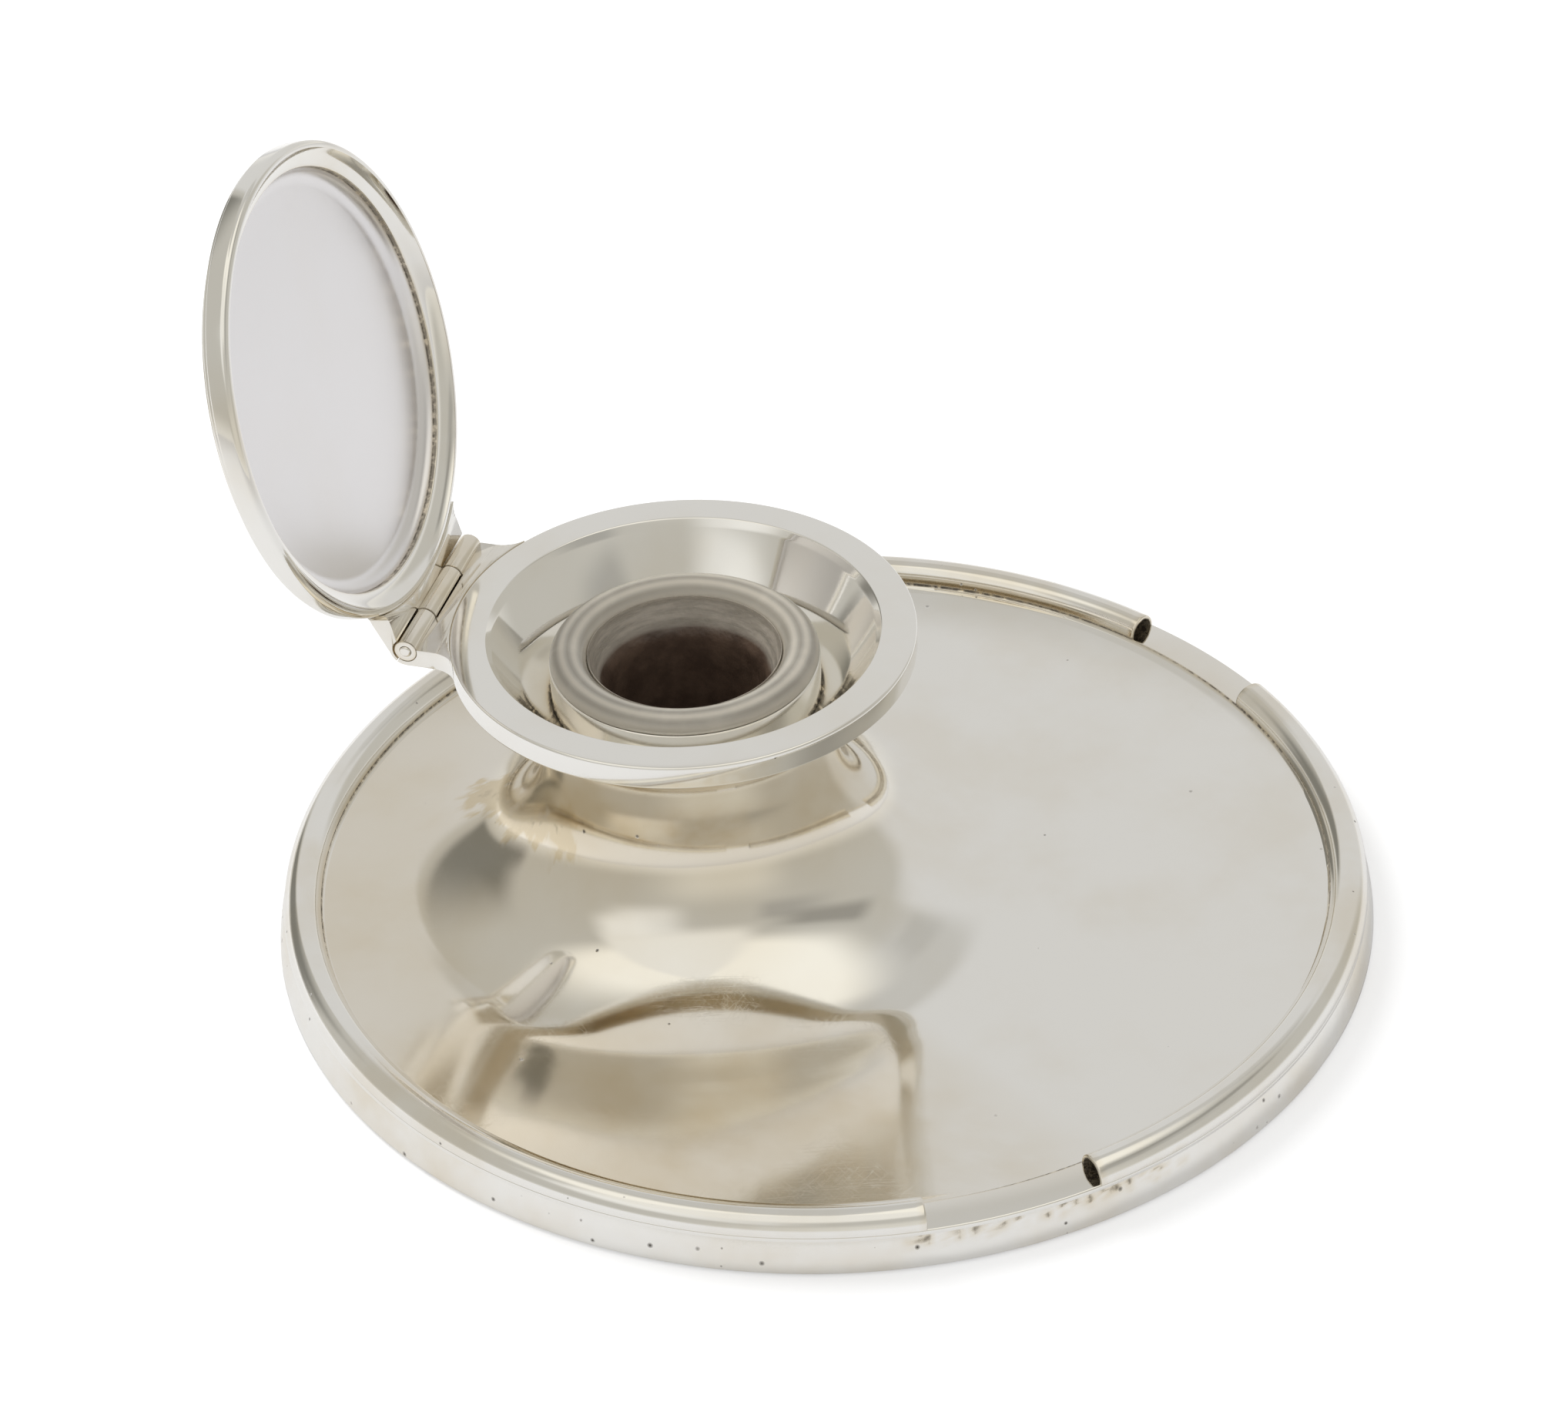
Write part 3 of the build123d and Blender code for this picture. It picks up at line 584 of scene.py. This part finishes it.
def tray_mesh():
    """The tray's sheet: neck rings about the well, rim rings about the base."""
    around = 384
    tray_steps = 24
    ripple = 0.05 * mm
    rim_edge = 0.35 * mm
    neck = bend((waist_r + neck_curve, waist_z), neck_curve, 180 - neck_tilt, 180, 2.5)
    neck += bend((waist_r + flare_curve, waist_z), flare_curve, 180, 180 + flare_turn, 2.5)[1:]
    foot = bend((foot_middle_r, foot_z + foot_curve), foot_curve, 180 + flare_turn, 268, 1.0)[1:]
    step_low = tray_edge_r - 0.25 * mm
    edge_z = tray_z + tray_hollow
    rim_top = [(tray_r - 0.35 * mm, edge_z + 0.03 * mm), (tray_r - 0.1 * mm, rim_z - 0.05 * mm),
               (tray_r, rim_z), (tray_r + 0.3 * mm, rim_z)]
    edge = bend((wall_top_r - rim_edge, rim_z - rim_edge), rim_edge, 90, 0, 15.0)
    rim_under = [(wall_top_r, rim_z - sheet), (tray_r + sheet, rim_z - sheet)]
    rim = rim_top + edge + rim_under
    vertices = []
    soiling = []
    filming = []
    for i in range(around):
        angle = 2 * math.pi * i / around
        across = math.cos(angle)
        back = math.sin(angle)
        reach = -well_y * back + math.sqrt(step_low ** 2 - (well_y * across) ** 2)
        edge_way = Vector((reach * across, well_y + reach * back)).normalized()
        line = list(neck)
        for r, z in foot:
            line.append((r, blended(z, tray_height(r * across, well_y + r * back), 0.9 * mm)))
        foot_end = foot[-1][0]
        for step in range(1, tray_steps + 1):
            r = foot_end + (reach - foot_end) * step / tray_steps
            line.append((r, tray_height(r * across, well_y + r * back)))
        column = []
        for r, z in line:
            x, y = r * across, well_y + r * back
            dirt, film = tray_wear(Vector((x, y, z)), z, r, Vector((across, back, 0)))
            uneven = ripple * noise.noise(Vector((x, y, 0)) / (26 * mm))
            column.append((x, y, z + uneven, dirt, film))
        for r, z in rim:
            patchy = 0.75 + 0.6 * noise.noise(Vector((3 * across, 3 * back, 0)))
            dirt = min(1.0, patchy) * dirt_at(r, z, [(tray_r - 0.1 * mm, rim_z)], 0.35 * mm)
            column.append((r * edge_way.x, r * edge_way.y, z, dirt, 0.0))
        # The sheet's hidden underside gets full dirt, the darkest crevice colour all over: painted
        # shade inside the base.
        for r, z in inward(line, sheet)[::-3]:
            column.append((r * across, well_y + r * back, z, 1.0, 0.0))
        for x, y, z, dirt, film in column:
            vertices.append((x, y, z))
            soiling.append(dirt)
            filming.append(film)
    tall = len(vertices) // around
    faces = []
    for i in range(around):
        for k in range(tall):
            a, b = i * tall, ((i + 1) % around) * tall
            j = (k + 1) % tall
            faces.append((a + k, b + k, b + j, a + j))
    mesh = made_mesh(vertices, faces, soiling)
    note_on(mesh, "film", filming)
    return mesh


tray_silver = silver("tray_silver", roughness=0.05, scratches=0.7, film=0.2, pit_share=0.04,
                     pit_size=0.22)
dress("tray_and_neck", tray_mesh(), tray_silver, "base", "silver", "tray_shell")


# The outer wall of the base. A strip of silver bent round, with a slight swell, soldered
# under the tray's rim; years of knocks have pitted it.
wall_low, wall_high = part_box("skirt_wall")
foot_r = wall_high.x
wall_swell = 0.25 * mm


def wall_section(inset, steps):
    """Points up one face of the wall, bowed outward."""
    points = []
    for i in range(steps + 1):
        share = i / steps
        straight = foot_r + (wall_top_r - foot_r) * share
        bow = 4 * share * (1 - share) * wall_swell
        points.append((straight + bow - inset, wall_low.z + (wall_high.z - wall_low.z) * share))
    return points


def crusted(place, centres, size):
    """How much polish crust lies at a place: ragged patches about the centres."""
    most = 0.0
    for centre in centres:
        near = 1.0 - (place - centre).length / size
        most = max(most, near)
    return held(most * (0.55 + 1.3 * noise.fractal(place / (2 * mm), 0.7, 2.0, 4)), 0.8)


outer = wall_section(0, 14)
inner = wall_section(sheet, 4)
wall_edge = 0.3 * mm
foot = bend((foot_r - wall_edge, wall_low.z + wall_edge), wall_edge, 270, 345, 15.0)
wall_loop = foot + outer[2:] + inner[::-1]
wall_mesh = turned(wall_loop, around=480)
crust_size = 2.4 * mm
crust_from = -156
crust_apart = 1.5
crust_centres = []
for step in range(20):
    crust_way = heading_vector(crust_from + crust_apart * step, 0)
    crust_centres.append(crust_way * wall_top_r + Vector((0, 0, wall_high.z - 0.4 * mm)))
for vertex in wall_mesh.vertices:
    flat = Vector((vertex.co.x, vertex.co.y, 0))
    knock = 0.5 + 0.5 * noise.noise(vertex.co / (17 * mm))
    dent = max(0.0, noise.noise(vertex.co / (6 * mm) + Vector((5, 1, 2))) - 0.25)
    vertex.co -= flat.normalized() * (0.10 * knock + 0.18 * dent) * mm
    grime = wall_mesh.attributes["dirt"].data[vertex.index]
    grime.value = max(grime.value, crusted(vertex.co, crust_centres, crust_size))
wall_silver = silver("wall_silver", roughness=0.11, scratches=1.0, film=0.55, pit_share=0.6,
                     pit_size=0.22, wave=0.05 * mm, wave_size=9 * mm)
dress("base_wall", wall_mesh, wall_silver, "base", "silver", "skirt_wall")


# The half-round bead. Hollow drawn moulding soldered on the rim in two runs, which stop
# either side of each pen rest; their hollow insides are painted the darkest crevice colour as
# painted shade, so their open ends show dark.
def bead_mesh(start, end):
    """A run of bead between two angles from the front, with softly rounded ends."""
    wall = 0.6 * mm
    spacing = 1.1 * mm
    easing = [(0.0, 0.22 * mm), (0.05 * mm, 0.09 * mm), (0.14 * mm, 0.02 * mm), (0.3 * mm, 0.0)]
    length = math.radians(end - start) * bead_middle_r
    eased_end = easing[-1][0]
    places = [(along, shrink, True) for along, shrink in easing]
    count = int(length / spacing)
    for i in range(1, count):
        places.append((eased_end + (length - 2 * eased_end) * i / count, 0.0, False))
    places += [(length - along, shrink, True) for along, shrink in reversed(easing)]
    vertices = []
    soiling = []
    for along, shrink, near_end in places:
        angle = math.radians(start - 90) + along / bead_middle_r
        way = (math.cos(angle), math.sin(angle))
        outer = bend((bead_middle_r, rim_z), bead_r - shrink, 0, 180, 6.0)
        inner = bend((bead_middle_r, rim_z), bead_r - wall, 180, 0, 9.0)
        for r, z in outer + inner:
            dirt = dirt_at(r, z, [(bead_middle_r - bead_r, rim_z)], 0.5 * mm)
            if near_end:
                dirt = max(dirt, 0.35)
            here = Vector((r * way[0], r * way[1], z))
            dirt = max(dirt, crusted(here, crust_centres, crust_size))
            # The hollow inside gets full dirt, the darkest crevice colour: painted shade in the
            # bead's hollow.
            if (r, z) in inner:
                dirt = 1.0
            vertices.append((r * way[0], r * way[1], z))
            soiling.append(dirt)
    ring = len(outer) + len(inner)
    faces = []
    for i in range(len(places) - 1):
        for k in range(ring):
            j = (k + 1) % ring
            faces.append((i * ring + k, (i + 1) * ring + k, (i + 1) * ring + j, i * ring + j))
    for base in (0, (len(places) - 1) * ring):
        for k in range(len(inner) - 1):
            share = k / (len(inner) - 1)
            near = round(share * (len(outer) - 1))
            far = round((k + 1) / (len(inner) - 1) * (len(outer) - 1))
            inside_a = base + ring - 1 - k
            inside_b = base + ring - 2 - k
            faces.append((*range(base + near, base + far + 1), inside_b, inside_a))
    return made_mesh(vertices, faces, soiling)


rest_angle = 55.6
rest_width = 26.5 * mm
rest_half = math.degrees(math.asin(rest_width / 2 / bead_middle_r))
bead_silver = silver("bead_silver", roughness=0.09, scratches=0.8, film=0.4, pit_share=0.2,
                     pit_size=0.14, wave=0.03 * mm, wave_size=8 * mm)
front_run = bead_mesh(rest_half - rest_angle, rest_angle - rest_half)
dress("front_bead", front_run, bead_silver, "base", "silver", "rim_bead_front")
back_run = bead_mesh(rest_angle + rest_half, 360 - rest_angle - rest_half)
dress("back_bead", back_run, bead_silver, "base", "silver", "rim_bead_back")


# The cup that holds the glass. Spun silver, standing up through the middle of the dish,
# bright outside and left white from the pickle inside.
cup_r = cup_high.x
cup_wall = 0.7 * mm
cup_corner = 2.0 * mm
lip_out = 0.3 * mm
lip_in = 0.2 * mm
cup_turn = (cup_r - cup_corner, cup_low.z + cup_corner)
cup_loop = [(0, cup_low.z)] + bend(cup_turn, cup_corner, 270, 360, 15.0)
cup_loop += bend((cup_r - lip_out, cup_high.z - lip_out), lip_out, 0, 90, 15.0)
cup_loop += bend((cup_r - cup_wall + lip_in, cup_high.z - lip_in), lip_in, 90, 180, 18.0)
cup_loop += bend(cup_turn, cup_corner - cup_wall, 360, 270, 15.0)
cup_loop += [(0, cup_low.z + cup_wall)]
dish_foot_z = waist_z + 9.6 * mm
cup_silver = silver("cup_silver", roughness=0.10, film=0.2, wave=0.02 * mm,
                    tone=(0.95, 0.93, 0.88))
cup_mesh = turned(cup_loop, well, 192, [(cup_r, dish_foot_z)], 0.5 * mm)
frost = []
for vertex in cup_mesh.vertices:
    off_axis = math.hypot(vertex.co.x, vertex.co.y - well_y)
    frost.append(1.0 if off_axis < cup_r - cup_wall + 0.1 * mm else 0.0)
note_on(cup_mesh, "frost", frost)
dress("inner_cup", cup_mesh, cup_silver, "base", "silver", "well_cup")


# The collar. A flat flange with a steep drip dish spun in its middle, and a square wire
# soldered under the edge to stiffen it.
dish_r = waist_r + 7.5 * mm
floor_in = cup_r + 0.02 * mm
dish_run = dish_r - floor_in
dish_rise = collar_top - dish_foot_z
dish_slant = math.hypot(dish_run, dish_rise)
dish_sag = 0.4 * mm


def dish_line(depth):
    """Points up the dish's side from its foot to its lip, at some depth below its face."""
    points = []
    for i in range(31):
        share = i / 30
        bow = 4 * share * (1 - share) * dish_sag + depth
        points.append((floor_in + dish_run * share + bow * dish_rise / dish_slant,
                       dish_foot_z + dish_rise * share - bow * dish_run / dish_slant))
    return points


lip_round = 0.45 * mm
dish_loop = [(floor_in, dish_foot_z - sheet)] + dish_line(0)[:-2]
dish_loop += bend((dish_r + lip_round, collar_top - lip_round), lip_round, 150, 90, 12.0)
dish_loop += bend((collar_r - lip_round, collar_top - lip_round), lip_round, 90, 0, 15.0)
dish_loop += [(collar_r, flange_under), (dish_r + sheet, flange_under)]
dish_loop += [point for point in reversed(dish_line(sheet))
              if floor_in < point[0] and point[1] < flange_under]
collar_silver = silver("collar_silver", roughness=0.06, scratches=0.5, film=0.2,
                       wave=0.012 * mm)
dish_mesh = turned(dish_loop, well, 320, [(floor_in, dish_foot_z)], 1.0 * mm)
dress("drip_dish", dish_mesh, collar_silver, "base", "silver", "collar_dish")

wire_low, wire_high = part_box("collar_band")
wire_in = collar_r - 1.2 * mm
wire_loop = eased([(wire_in, wire_low.z, 0.35 * mm), (collar_r, wire_low.z, 0.45 * mm),
                   (collar_r, wire_high.z), (wire_in, wire_high.z)])
wire_mesh = turned(wire_loop, well, 320)
dress("collar_wire", wire_mesh, collar_silver, "base", "silver", "collar_band")


# The loose glass. A thick pressed pot with a fire-polished lip, which hangs by that lip
# on the cup and narrows to its bore; lime clouds it, most inside the cup, and over the lip
# a pale haze stands in for light through the glass, in rings that are painted reflections.
glass_low, glass_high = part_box("glass_liner")
lip_r = glass_high.x
seat_z = cup_high.z + 0.1 * mm
glass_wall_r = cup_r - cup_wall - 0.5 * mm
glass_foot_r = glass_wall_r - 1.2 * mm
mouth_r = 15.6 * mm
bore_r = 13.3 * mm
bore_z = glass_high.z - 8.0 * mm
glass_floor = glass_low.z + 5.0 * mm
bore_corner = 4.0 * mm
lip_height = glass_high.z - seat_z
crown_r = (lip_r + mouth_r) / 2


def quarter(centre, across, up, start, end):
    """Points of a quarter of an ellipse, its angles in degrees."""
    points = []
    for i in range(13):
        angle = math.radians(start + (end - start) * i / 12)
        points.append((centre[0] + across * math.cos(angle), centre[1] + up * math.sin(angle)))
    return points


land = 0.35 * mm
heel = 2 * mm
seat_edge = 0.15 * mm
glass_loop = [(0, glass_low.z)]
glass_loop += bend((glass_foot_r - heel, glass_low.z + heel), heel, 270, 360, 9.0)
glass_loop += eased([(glass_foot_r, glass_low.z + 3 * heel), (glass_wall_r, seat_z, seat_edge),
                     (lip_r, seat_z, seat_edge), (lip_r, seat_z + land)])[1:]
glass_loop += quarter((crown_r, seat_z + land), lip_r - crown_r, lip_height - land, 0, 90)[1:]
glass_loop += quarter((crown_r, seat_z), crown_r - mouth_r, lip_height, 90, 180)[1:]
glass_loop += eased([(mouth_r, seat_z), (bore_r, bore_z, 2.0 * mm), (bore_r, bore_z - 6 * mm)])[1:]
glass_loop += bend((bore_r - bore_corner, glass_floor + bore_corner), bore_corner, 0, -90, 9.0)
glass_loop += [(0, glass_floor)]
clear_glass, tree, place = new_material("pressed_glass")
drawn_out = node(tree, "Mapping", {"Vector": place, "Scale": (1.0, 1.0, 0.35)}).outputs[0]
ripple = node(tree, "TexNoise", {"Vector": drawn_out, "Scale": 160.0, "Detail": 2.0})
glass_bump = node(tree, "Bump", {"Height": ripple.outputs["Fac"], "Strength": 1.0,
                                 "Distance": 0.05 * mm})
smear = place_group(tree, cloudy, {"Vector": place, "Scale": 120.0, "Low": 0.45, "High": 0.7})
smear_rough = maths(tree, "MULTIPLY_ADD", smear["Mask"], 0.05, 0.01)
glass_shader = node(tree, "BsdfPrincipled", {
    "Base Color": (0.93, 0.94, 0.93, 1), "Roughness": smear_rough, "IOR": 1.45,
    "Transmission Weight": 1.0, "Normal": glass_bump.outputs["Normal"]})
haze = node(tree, "BsdfPrincipled", {
    "Base Color": (0.88, 0.81, 0.68, 1), "Roughness": 0.4, "Coat Weight": 1.0,
    "Coat Roughness": 0.03, "Normal": glass_bump.outputs["Normal"]})
smear_haze = 0.08
even_haze = 0.10
haze_share = maths(tree, "MULTIPLY_ADD", smear["Mask"], smear_haze, even_haze)
# The frost attribute holds lime, and on the lip a pale haze of painted light with painted
# reflection bands.
limed = node(tree, "Attribute", attribute_name="frost").outputs["Fac"]
haze_share = maths(tree, "ADD", haze_share, limed)
glass_shader = node(tree, "MixShader", {0: haze_share, 1: glass_shader.outputs[0],
                                        2: haze.outputs[0]})
finish_material(tree, glass_shader)
glass_mesh = turned(glass_loop, well, 256)
ring_spacing = 2.0 * mm
lip_lime = 0.42
ring_lime = 0.15
bore_lime = 0.1
cup_side_lime = 0.9
frost = []
for vertex in glass_mesh.vertices:
    off_axis = math.hypot(vertex.co.x, vertex.co.y - well_y)
    # Over the lip a pale haze stands in for the light seen through the clear glass, and rings of
    # more and less haze are painted reflection bands.
    if vertex.co.z > seat_z + 0.01 * mm:
        ring_wave = math.cos(2 * math.pi * (lip_r - off_axis) / ring_spacing)
        frost.append(lip_lime + ring_lime * ring_wave)
    else:
        outside = glass_foot_r - 1.0 * mm < off_axis < glass_wall_r + 0.05 * mm
        frost.append(cup_side_lime if outside else bore_lime)
note_on(glass_mesh, "frost", frost)
dress("ink_glass", glass_mesh, clear_glass, "liner", "glass", "glass_liner")


# Ink dried in the glass. A dark brown glaze over the floor and up the bore, with a ragged
# top edge where the level stood and a thin streaked stain above it.
ink_brown, tree, place = new_material("dried_ink")
ink_clouds = place_group(tree, cloudy, {"Vector": place, "Scale": 220.0, "Low": 0.35, "High": 0.7})
thickness = node(tree, "Attribute", attribute_name="dirt").outputs["Fac"]
thick_brown = blend_colours(tree, ink_clouds["Mask"], (0.098, 0.065, 0.047), (0.165, 0.112, 0.080))
ink_colour = blend_colours(tree, thickness, (0.62, 0.56, 0.47), thick_brown)
tide = node(tree, "Mapping", {"Vector": place, "Scale": (0.3, 0.3, 2.4)}).outputs[0]
streaks = place_group(tree, cloudy, {"Vector": tide, "Scale": 420.0, "Low": 0.35, "High": 0.65})
faint = maths(tree, "MULTIPLY_ADD", streaks["Mask"], 0.45, 0.35)
cover = ramp(tree, thickness, 0.0, 0.8, faint, 1.0, "LINEAR")
crust = node(tree, "TexNoise", {"Vector": place, "Scale": 900.0, "Detail": 5.0})
ink_bump = node(tree, "Bump", {"Height": crust.outputs["Fac"], "Strength": 0.5,
                               "Distance": 0.3 * mm})
ink_shader = node(tree, "BsdfPrincipled", {"Base Color": ink_colour, "Roughness": 0.28,
                                           "Alpha": cover, "Normal": ink_bump.outputs["Normal"]})
finish_material(tree, ink_shader)
ink_gap = 0.05 * mm
ink_coat = 0.4 * mm
ink_pool = 1.2 * mm
ring_step = 2.2 * mm
ink_r = bore_r - ink_gap
ink_top = bore_z + 1.4 * mm
stain_foot = bore_z - 1.0 * mm
stain_top = seat_z + 0.8 * mm
stain_r = mouth_r - 0.12 * mm
ink_turn_r = ink_r - bore_corner
ink_turn_z = glass_floor + bore_corner
ink_loop = [(0, glass_floor + ink_gap)]
ink_loop += bend((ink_turn_r, ink_turn_z + ink_gap), bore_corner, 270, 360, 9.0)
ink_loop += [(ink_r, bore_z - i * ring_step) for i in (3, 2, 1)]
rise_up = []
for i in range(13):
    share = i / 12
    height = stain_foot + (stain_top - stain_foot) * share
    funnel = max(0.0, height - bore_z) / (seat_z - bore_z)
    rise_up.append((ink_r + (stain_r - ink_r) * min(1.0, funnel) - 0.25 * mm * (1 - share), height))
ink_loop += rise_up
ink_loop += [(r - 0.1 * mm, z) for r, z in reversed(rise_up)]
ink_loop += [(ink_r - ink_coat, bore_z - i * ring_step) for i in (1, 2, 3)]
ink_loop += bend((ink_turn_r - ink_coat, ink_turn_z + ink_pool), bore_corner, 0, -90, 9.0)
ink_loop += [(0, glass_floor + ink_pool)]
ink_mesh = turned(ink_loop, well, 160)
layer = []
for vertex in ink_mesh.vertices:
    rag = noise.noise(Vector((vertex.co.x, vertex.co.y, 0)) / (6 * mm))
    above = (vertex.co.z - ink_top - 0.5 * mm * rag) / (1.0 * mm)
    layer.append(held(1 - above))
ink_mesh.attributes["dirt"].data.foreach_set("value", layer)
dress("dried_ink", ink_mesh, ink_brown, "liner", "glass")


# The hinge. Two filed brackets carry three tubes on a drawn wire; the brackets' heels
# are bevelled so that they meet just past upright and stop the lid.
tube_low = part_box("lid_knuckle")[0]
tube_r = 1.9 * mm
tube_bore = 0.95 * mm
pin_r = 0.9 * mm
filed_edge = 0.3 * mm
hinge_place = Vector((0, tube_low.y + tube_r, tube_low.z + tube_r))
along_hinge = Matrix.Translation(hinge_place) @ Matrix.Rotation(math.pi / 2, 4, "Y")
hinge_silver = silver("hinge_silver", roughness=0.10, scratches=0.8, film=0.6, pit_share=0.05,
                      wave=0.03 * mm, wave_size=5 * mm)


def filed_copy(source, edge):
    """A solid's mesh with its flats cleaned and every filed edge rounded."""
    work = bmesh.new()
    work.from_mesh(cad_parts[source].data)
    bmesh.ops.remove_doubles(work, verts=work.verts, dist=0.001 * mm)
    bmesh.ops.dissolve_limit(work, angle_limit=math.radians(0.5), verts=work.verts,
                             edges=work.edges)
    mesh = bpy.data.meshes.new("filed")
    work.to_mesh(mesh)
    work.free()
    mesh.materials.clear()
    holder = bpy.data.objects.new("filed", mesh)
    bpy.context.scene.collection.objects.link(holder)
    round_over = holder.modifiers.new("round_over", "BEVEL")
    round_over.width = edge
    round_over.segments = 3
    round_over.limit_method = "ANGLE"
    round_over.angle_limit = math.radians(35)
    round_over.harden_normals = True
    evaluated = holder.evaluated_get(bpy.context.evaluated_depsgraph_get())
    finished = bpy.data.meshes.new_from_object(evaluated)
    bpy.data.objects.remove(holder)
    finished.shade_smooth()
    return finished


def tube_mesh(source):
    """One tube of the barrel, turned along the hinge with softly rounded ends."""
    low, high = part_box(source)
    outside = (high.z - low.z) / 2
    end_round = 0.2 * mm
    section = eased([(tube_bore, low.x, end_round / 2), (outside, low.x, end_round),
                     (outside, high.x, end_round), (tube_bore, high.x, end_round / 2)])
    tube = turned(section, (0, 0), 96, [(outside, low.x), (outside, high.x)], end_round)
    tube.transform(along_hinge)
    return tube


bracket = filed_copy("body_lug", filed_edge)
dress("body_bracket", bracket, hinge_silver, "base", "hinge_silver", "body_lug")
for side in ("left", "right"):
    tube = tube_mesh(f"body_knuckle_{side}")
    dress(f"{side}_barrel_tube", tube, hinge_silver, "base", "hinge_silver", f"body_knuckle_{side}")
pin_low, pin_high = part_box("hinge_pin")
pin_loop = eased([(0, pin_low.x), (pin_r, pin_low.x, filed_edge), (pin_r, pin_high.x, filed_edge),
                  (0, pin_high.x)])
pin = turned(pin_loop, (0, 0), 48)
pin.transform(along_hinge)
dress("pin_wire", pin, hinge_silver, "base", "hinge_silver", "hinge_pin")
lid_bracket = filed_copy("lid_lug", filed_edge)
dress("lid_bracket", lid_bracket, hinge_silver, "lid", "hinge_silver", "lid_lug")
lid_tube = tube_mesh("lid_knuckle")
dress("lid_barrel_tube", lid_tube, hinge_silver, "lid", "hinge_silver", "lid_knuckle")


# The lid's ring. A heavy moulding that lies on the collar, with a hollow lip inside its
# edge; the whole lid is worked out closed and then swung back to its stop.
open_angle = math.radians(105.4)
swing_back = (Matrix.Translation(hinge_place) @ Matrix.Rotation(-open_angle, 4, "X")
              @ Matrix.Translation(-hinge_place))
lid_r = collar_r + 0.4 * mm
lid_z = collar_top + 0.2 * mm
band_top = lid_z + 3.6 * mm
ridge_r = lid_r - 1.0 * mm
lid_lip_r = ridge_r - 3.0 * mm
lip_z = lid_z + 1.9 * mm
lining_sheet = 0.5 * mm
seat_r = lid_lip_r + 1.7 * mm
lining_seat = band_top - 2 * lining_sheet
hollow_depth = 0.4 * mm
ridge_round = 1.0 * mm
hollow_end = Vector((ridge_r, lid_z))
hollow_start = Vector((lid_lip_r, lip_z))
hollow_across = (hollow_end - hollow_start).normalized()
hollow_in = Vector((-hollow_across.y, hollow_across.x))
ring_loop = []
for i in range(17):
    share = i / 16
    sag = hollow_depth * 4 * share * (1 - share)
    ring_loop.append(tuple(hollow_start.lerp(hollow_end, share) + hollow_in * sag))
ring_loop = ring_loop[1:-1]
ring_loop += bend((ridge_r, lid_z + ridge_round), ridge_round, 255, 360, 9.0)
ring_loop += eased([(lid_r, lid_z + 1.2 * mm), (lid_r, band_top, 0.35 * mm), (seat_r, band_top),
                    (seat_r, lining_seat), (lid_lip_r, lining_seat),
                    (lid_lip_r, lip_z, 0.25 * mm), ring_loop[0]])[1:-1]
lid_silver = silver("lid_silver", roughness=0.07, scratches=0.6, film=0.3, wave=0.012 * mm)
lip_creases = [(lid_lip_r - 0.2 * mm, lining_seat), (lid_lip_r - 0.2 * mm, lip_z + 0.3 * mm)]
ring_mesh = turned(ring_loop, well, 320, lip_creases, 0.4 * mm)
ring_mesh.transform(swing_back)
dress("lid_ring", ring_mesh, lid_silver, "lid", "silver", "lid_rim")


# The lid's lining. A thin pan held by its edge in the ring, its face left a soft pale
# grey and faintly spotted.
lining_depth = lid_z + 4.6 * mm
lining_curve = 2.7 * mm
flat_r = lid_lip_r - lining_curve
pan_rise = lining_depth - lining_seat
pan_loop = [(0, lining_depth)]
pan_loop += [(flat_r * i / 10, lining_depth) for i in range(1, 10)]
pan_loop += quarter((flat_r, lining_seat), lining_curve, pan_rise, 90, 0)
pan_r = seat_r - 0.05 * mm
pan_loop += [(pan_r, lining_seat), (pan_r, lining_seat + lining_sheet)]
pan_loop += quarter((flat_r, lining_seat + lining_sheet), lining_curve + lining_sheet, pan_rise,
                    0, 90)
pan_loop += [(0, lining_depth + lining_sheet)]
lining_silver = silver("lining_silver", roughness=0.30, scratches=0.5, film=0.05,
                       pit_share=0.02, pit_size=0.08, wave=0.03 * mm, tone=(0.86, 0.845, 0.85))
pan_mesh = turned(pan_loop, well, 256, [(lid_lip_r, lining_seat)], 0.4 * mm)
pan_mesh.transform(swing_back)
dress("lid_pan", pan_mesh, lining_silver, "lid", "lining_silver", "lid_lining")


# The lid's cover. A low dome of thin silver with a stepped border, spun in one piece and
# soldered down on the ring.
lid_top = lid_z + 9.4 * mm
dome_sheet = 0.7 * mm
dome_step = 1.2 * mm
border_r = lid_r - 0.5 * mm
border_edge = 0.3 * mm
dome_in = lid_lip_r + lining_sheet + gap
step_in = dome_in + dome_sheet
step_out = step_in + dome_step
border_top = band_top + dome_sheet
dome_edge = border_top + dome_step
dome_rise = lid_top - dome_edge
crown = (step_in ** 2 + dome_rise ** 2) / (2 * dome_rise)
dome_tilt = math.degrees(math.asin(step_in / crown))
cover_loop = bend((0, lid_top - crown), crown, 90, 90 - dome_tilt, 1.0)
cover_loop[0] = (0, lid_top)
cover_loop += bend((step_out, dome_edge), dome_step, 180, 270, 9.0)
cover_loop += bend((border_r - border_edge, border_top - border_edge), border_edge, 90, 0, 15.0)
cover_loop += [(border_r, band_top), (dome_in, band_top)]
inner_crown = crown - dome_sheet
inner_tilt = math.degrees(math.asin(dome_in / inner_crown))
cover_loop += bend((0, lid_top - crown), inner_crown, 90 - inner_tilt, 90, 2.0)
cover_loop[-1] = (0, lid_top - dome_sheet)
cover_mesh = turned(cover_loop, well, 320, [(step_in, border_top + 0.4 * mm)], 0.6 * mm)
cover_mesh.transform(swing_back)
dress("lid_cover", cover_mesh, lid_silver, "lid", "silver", "lid_dome")
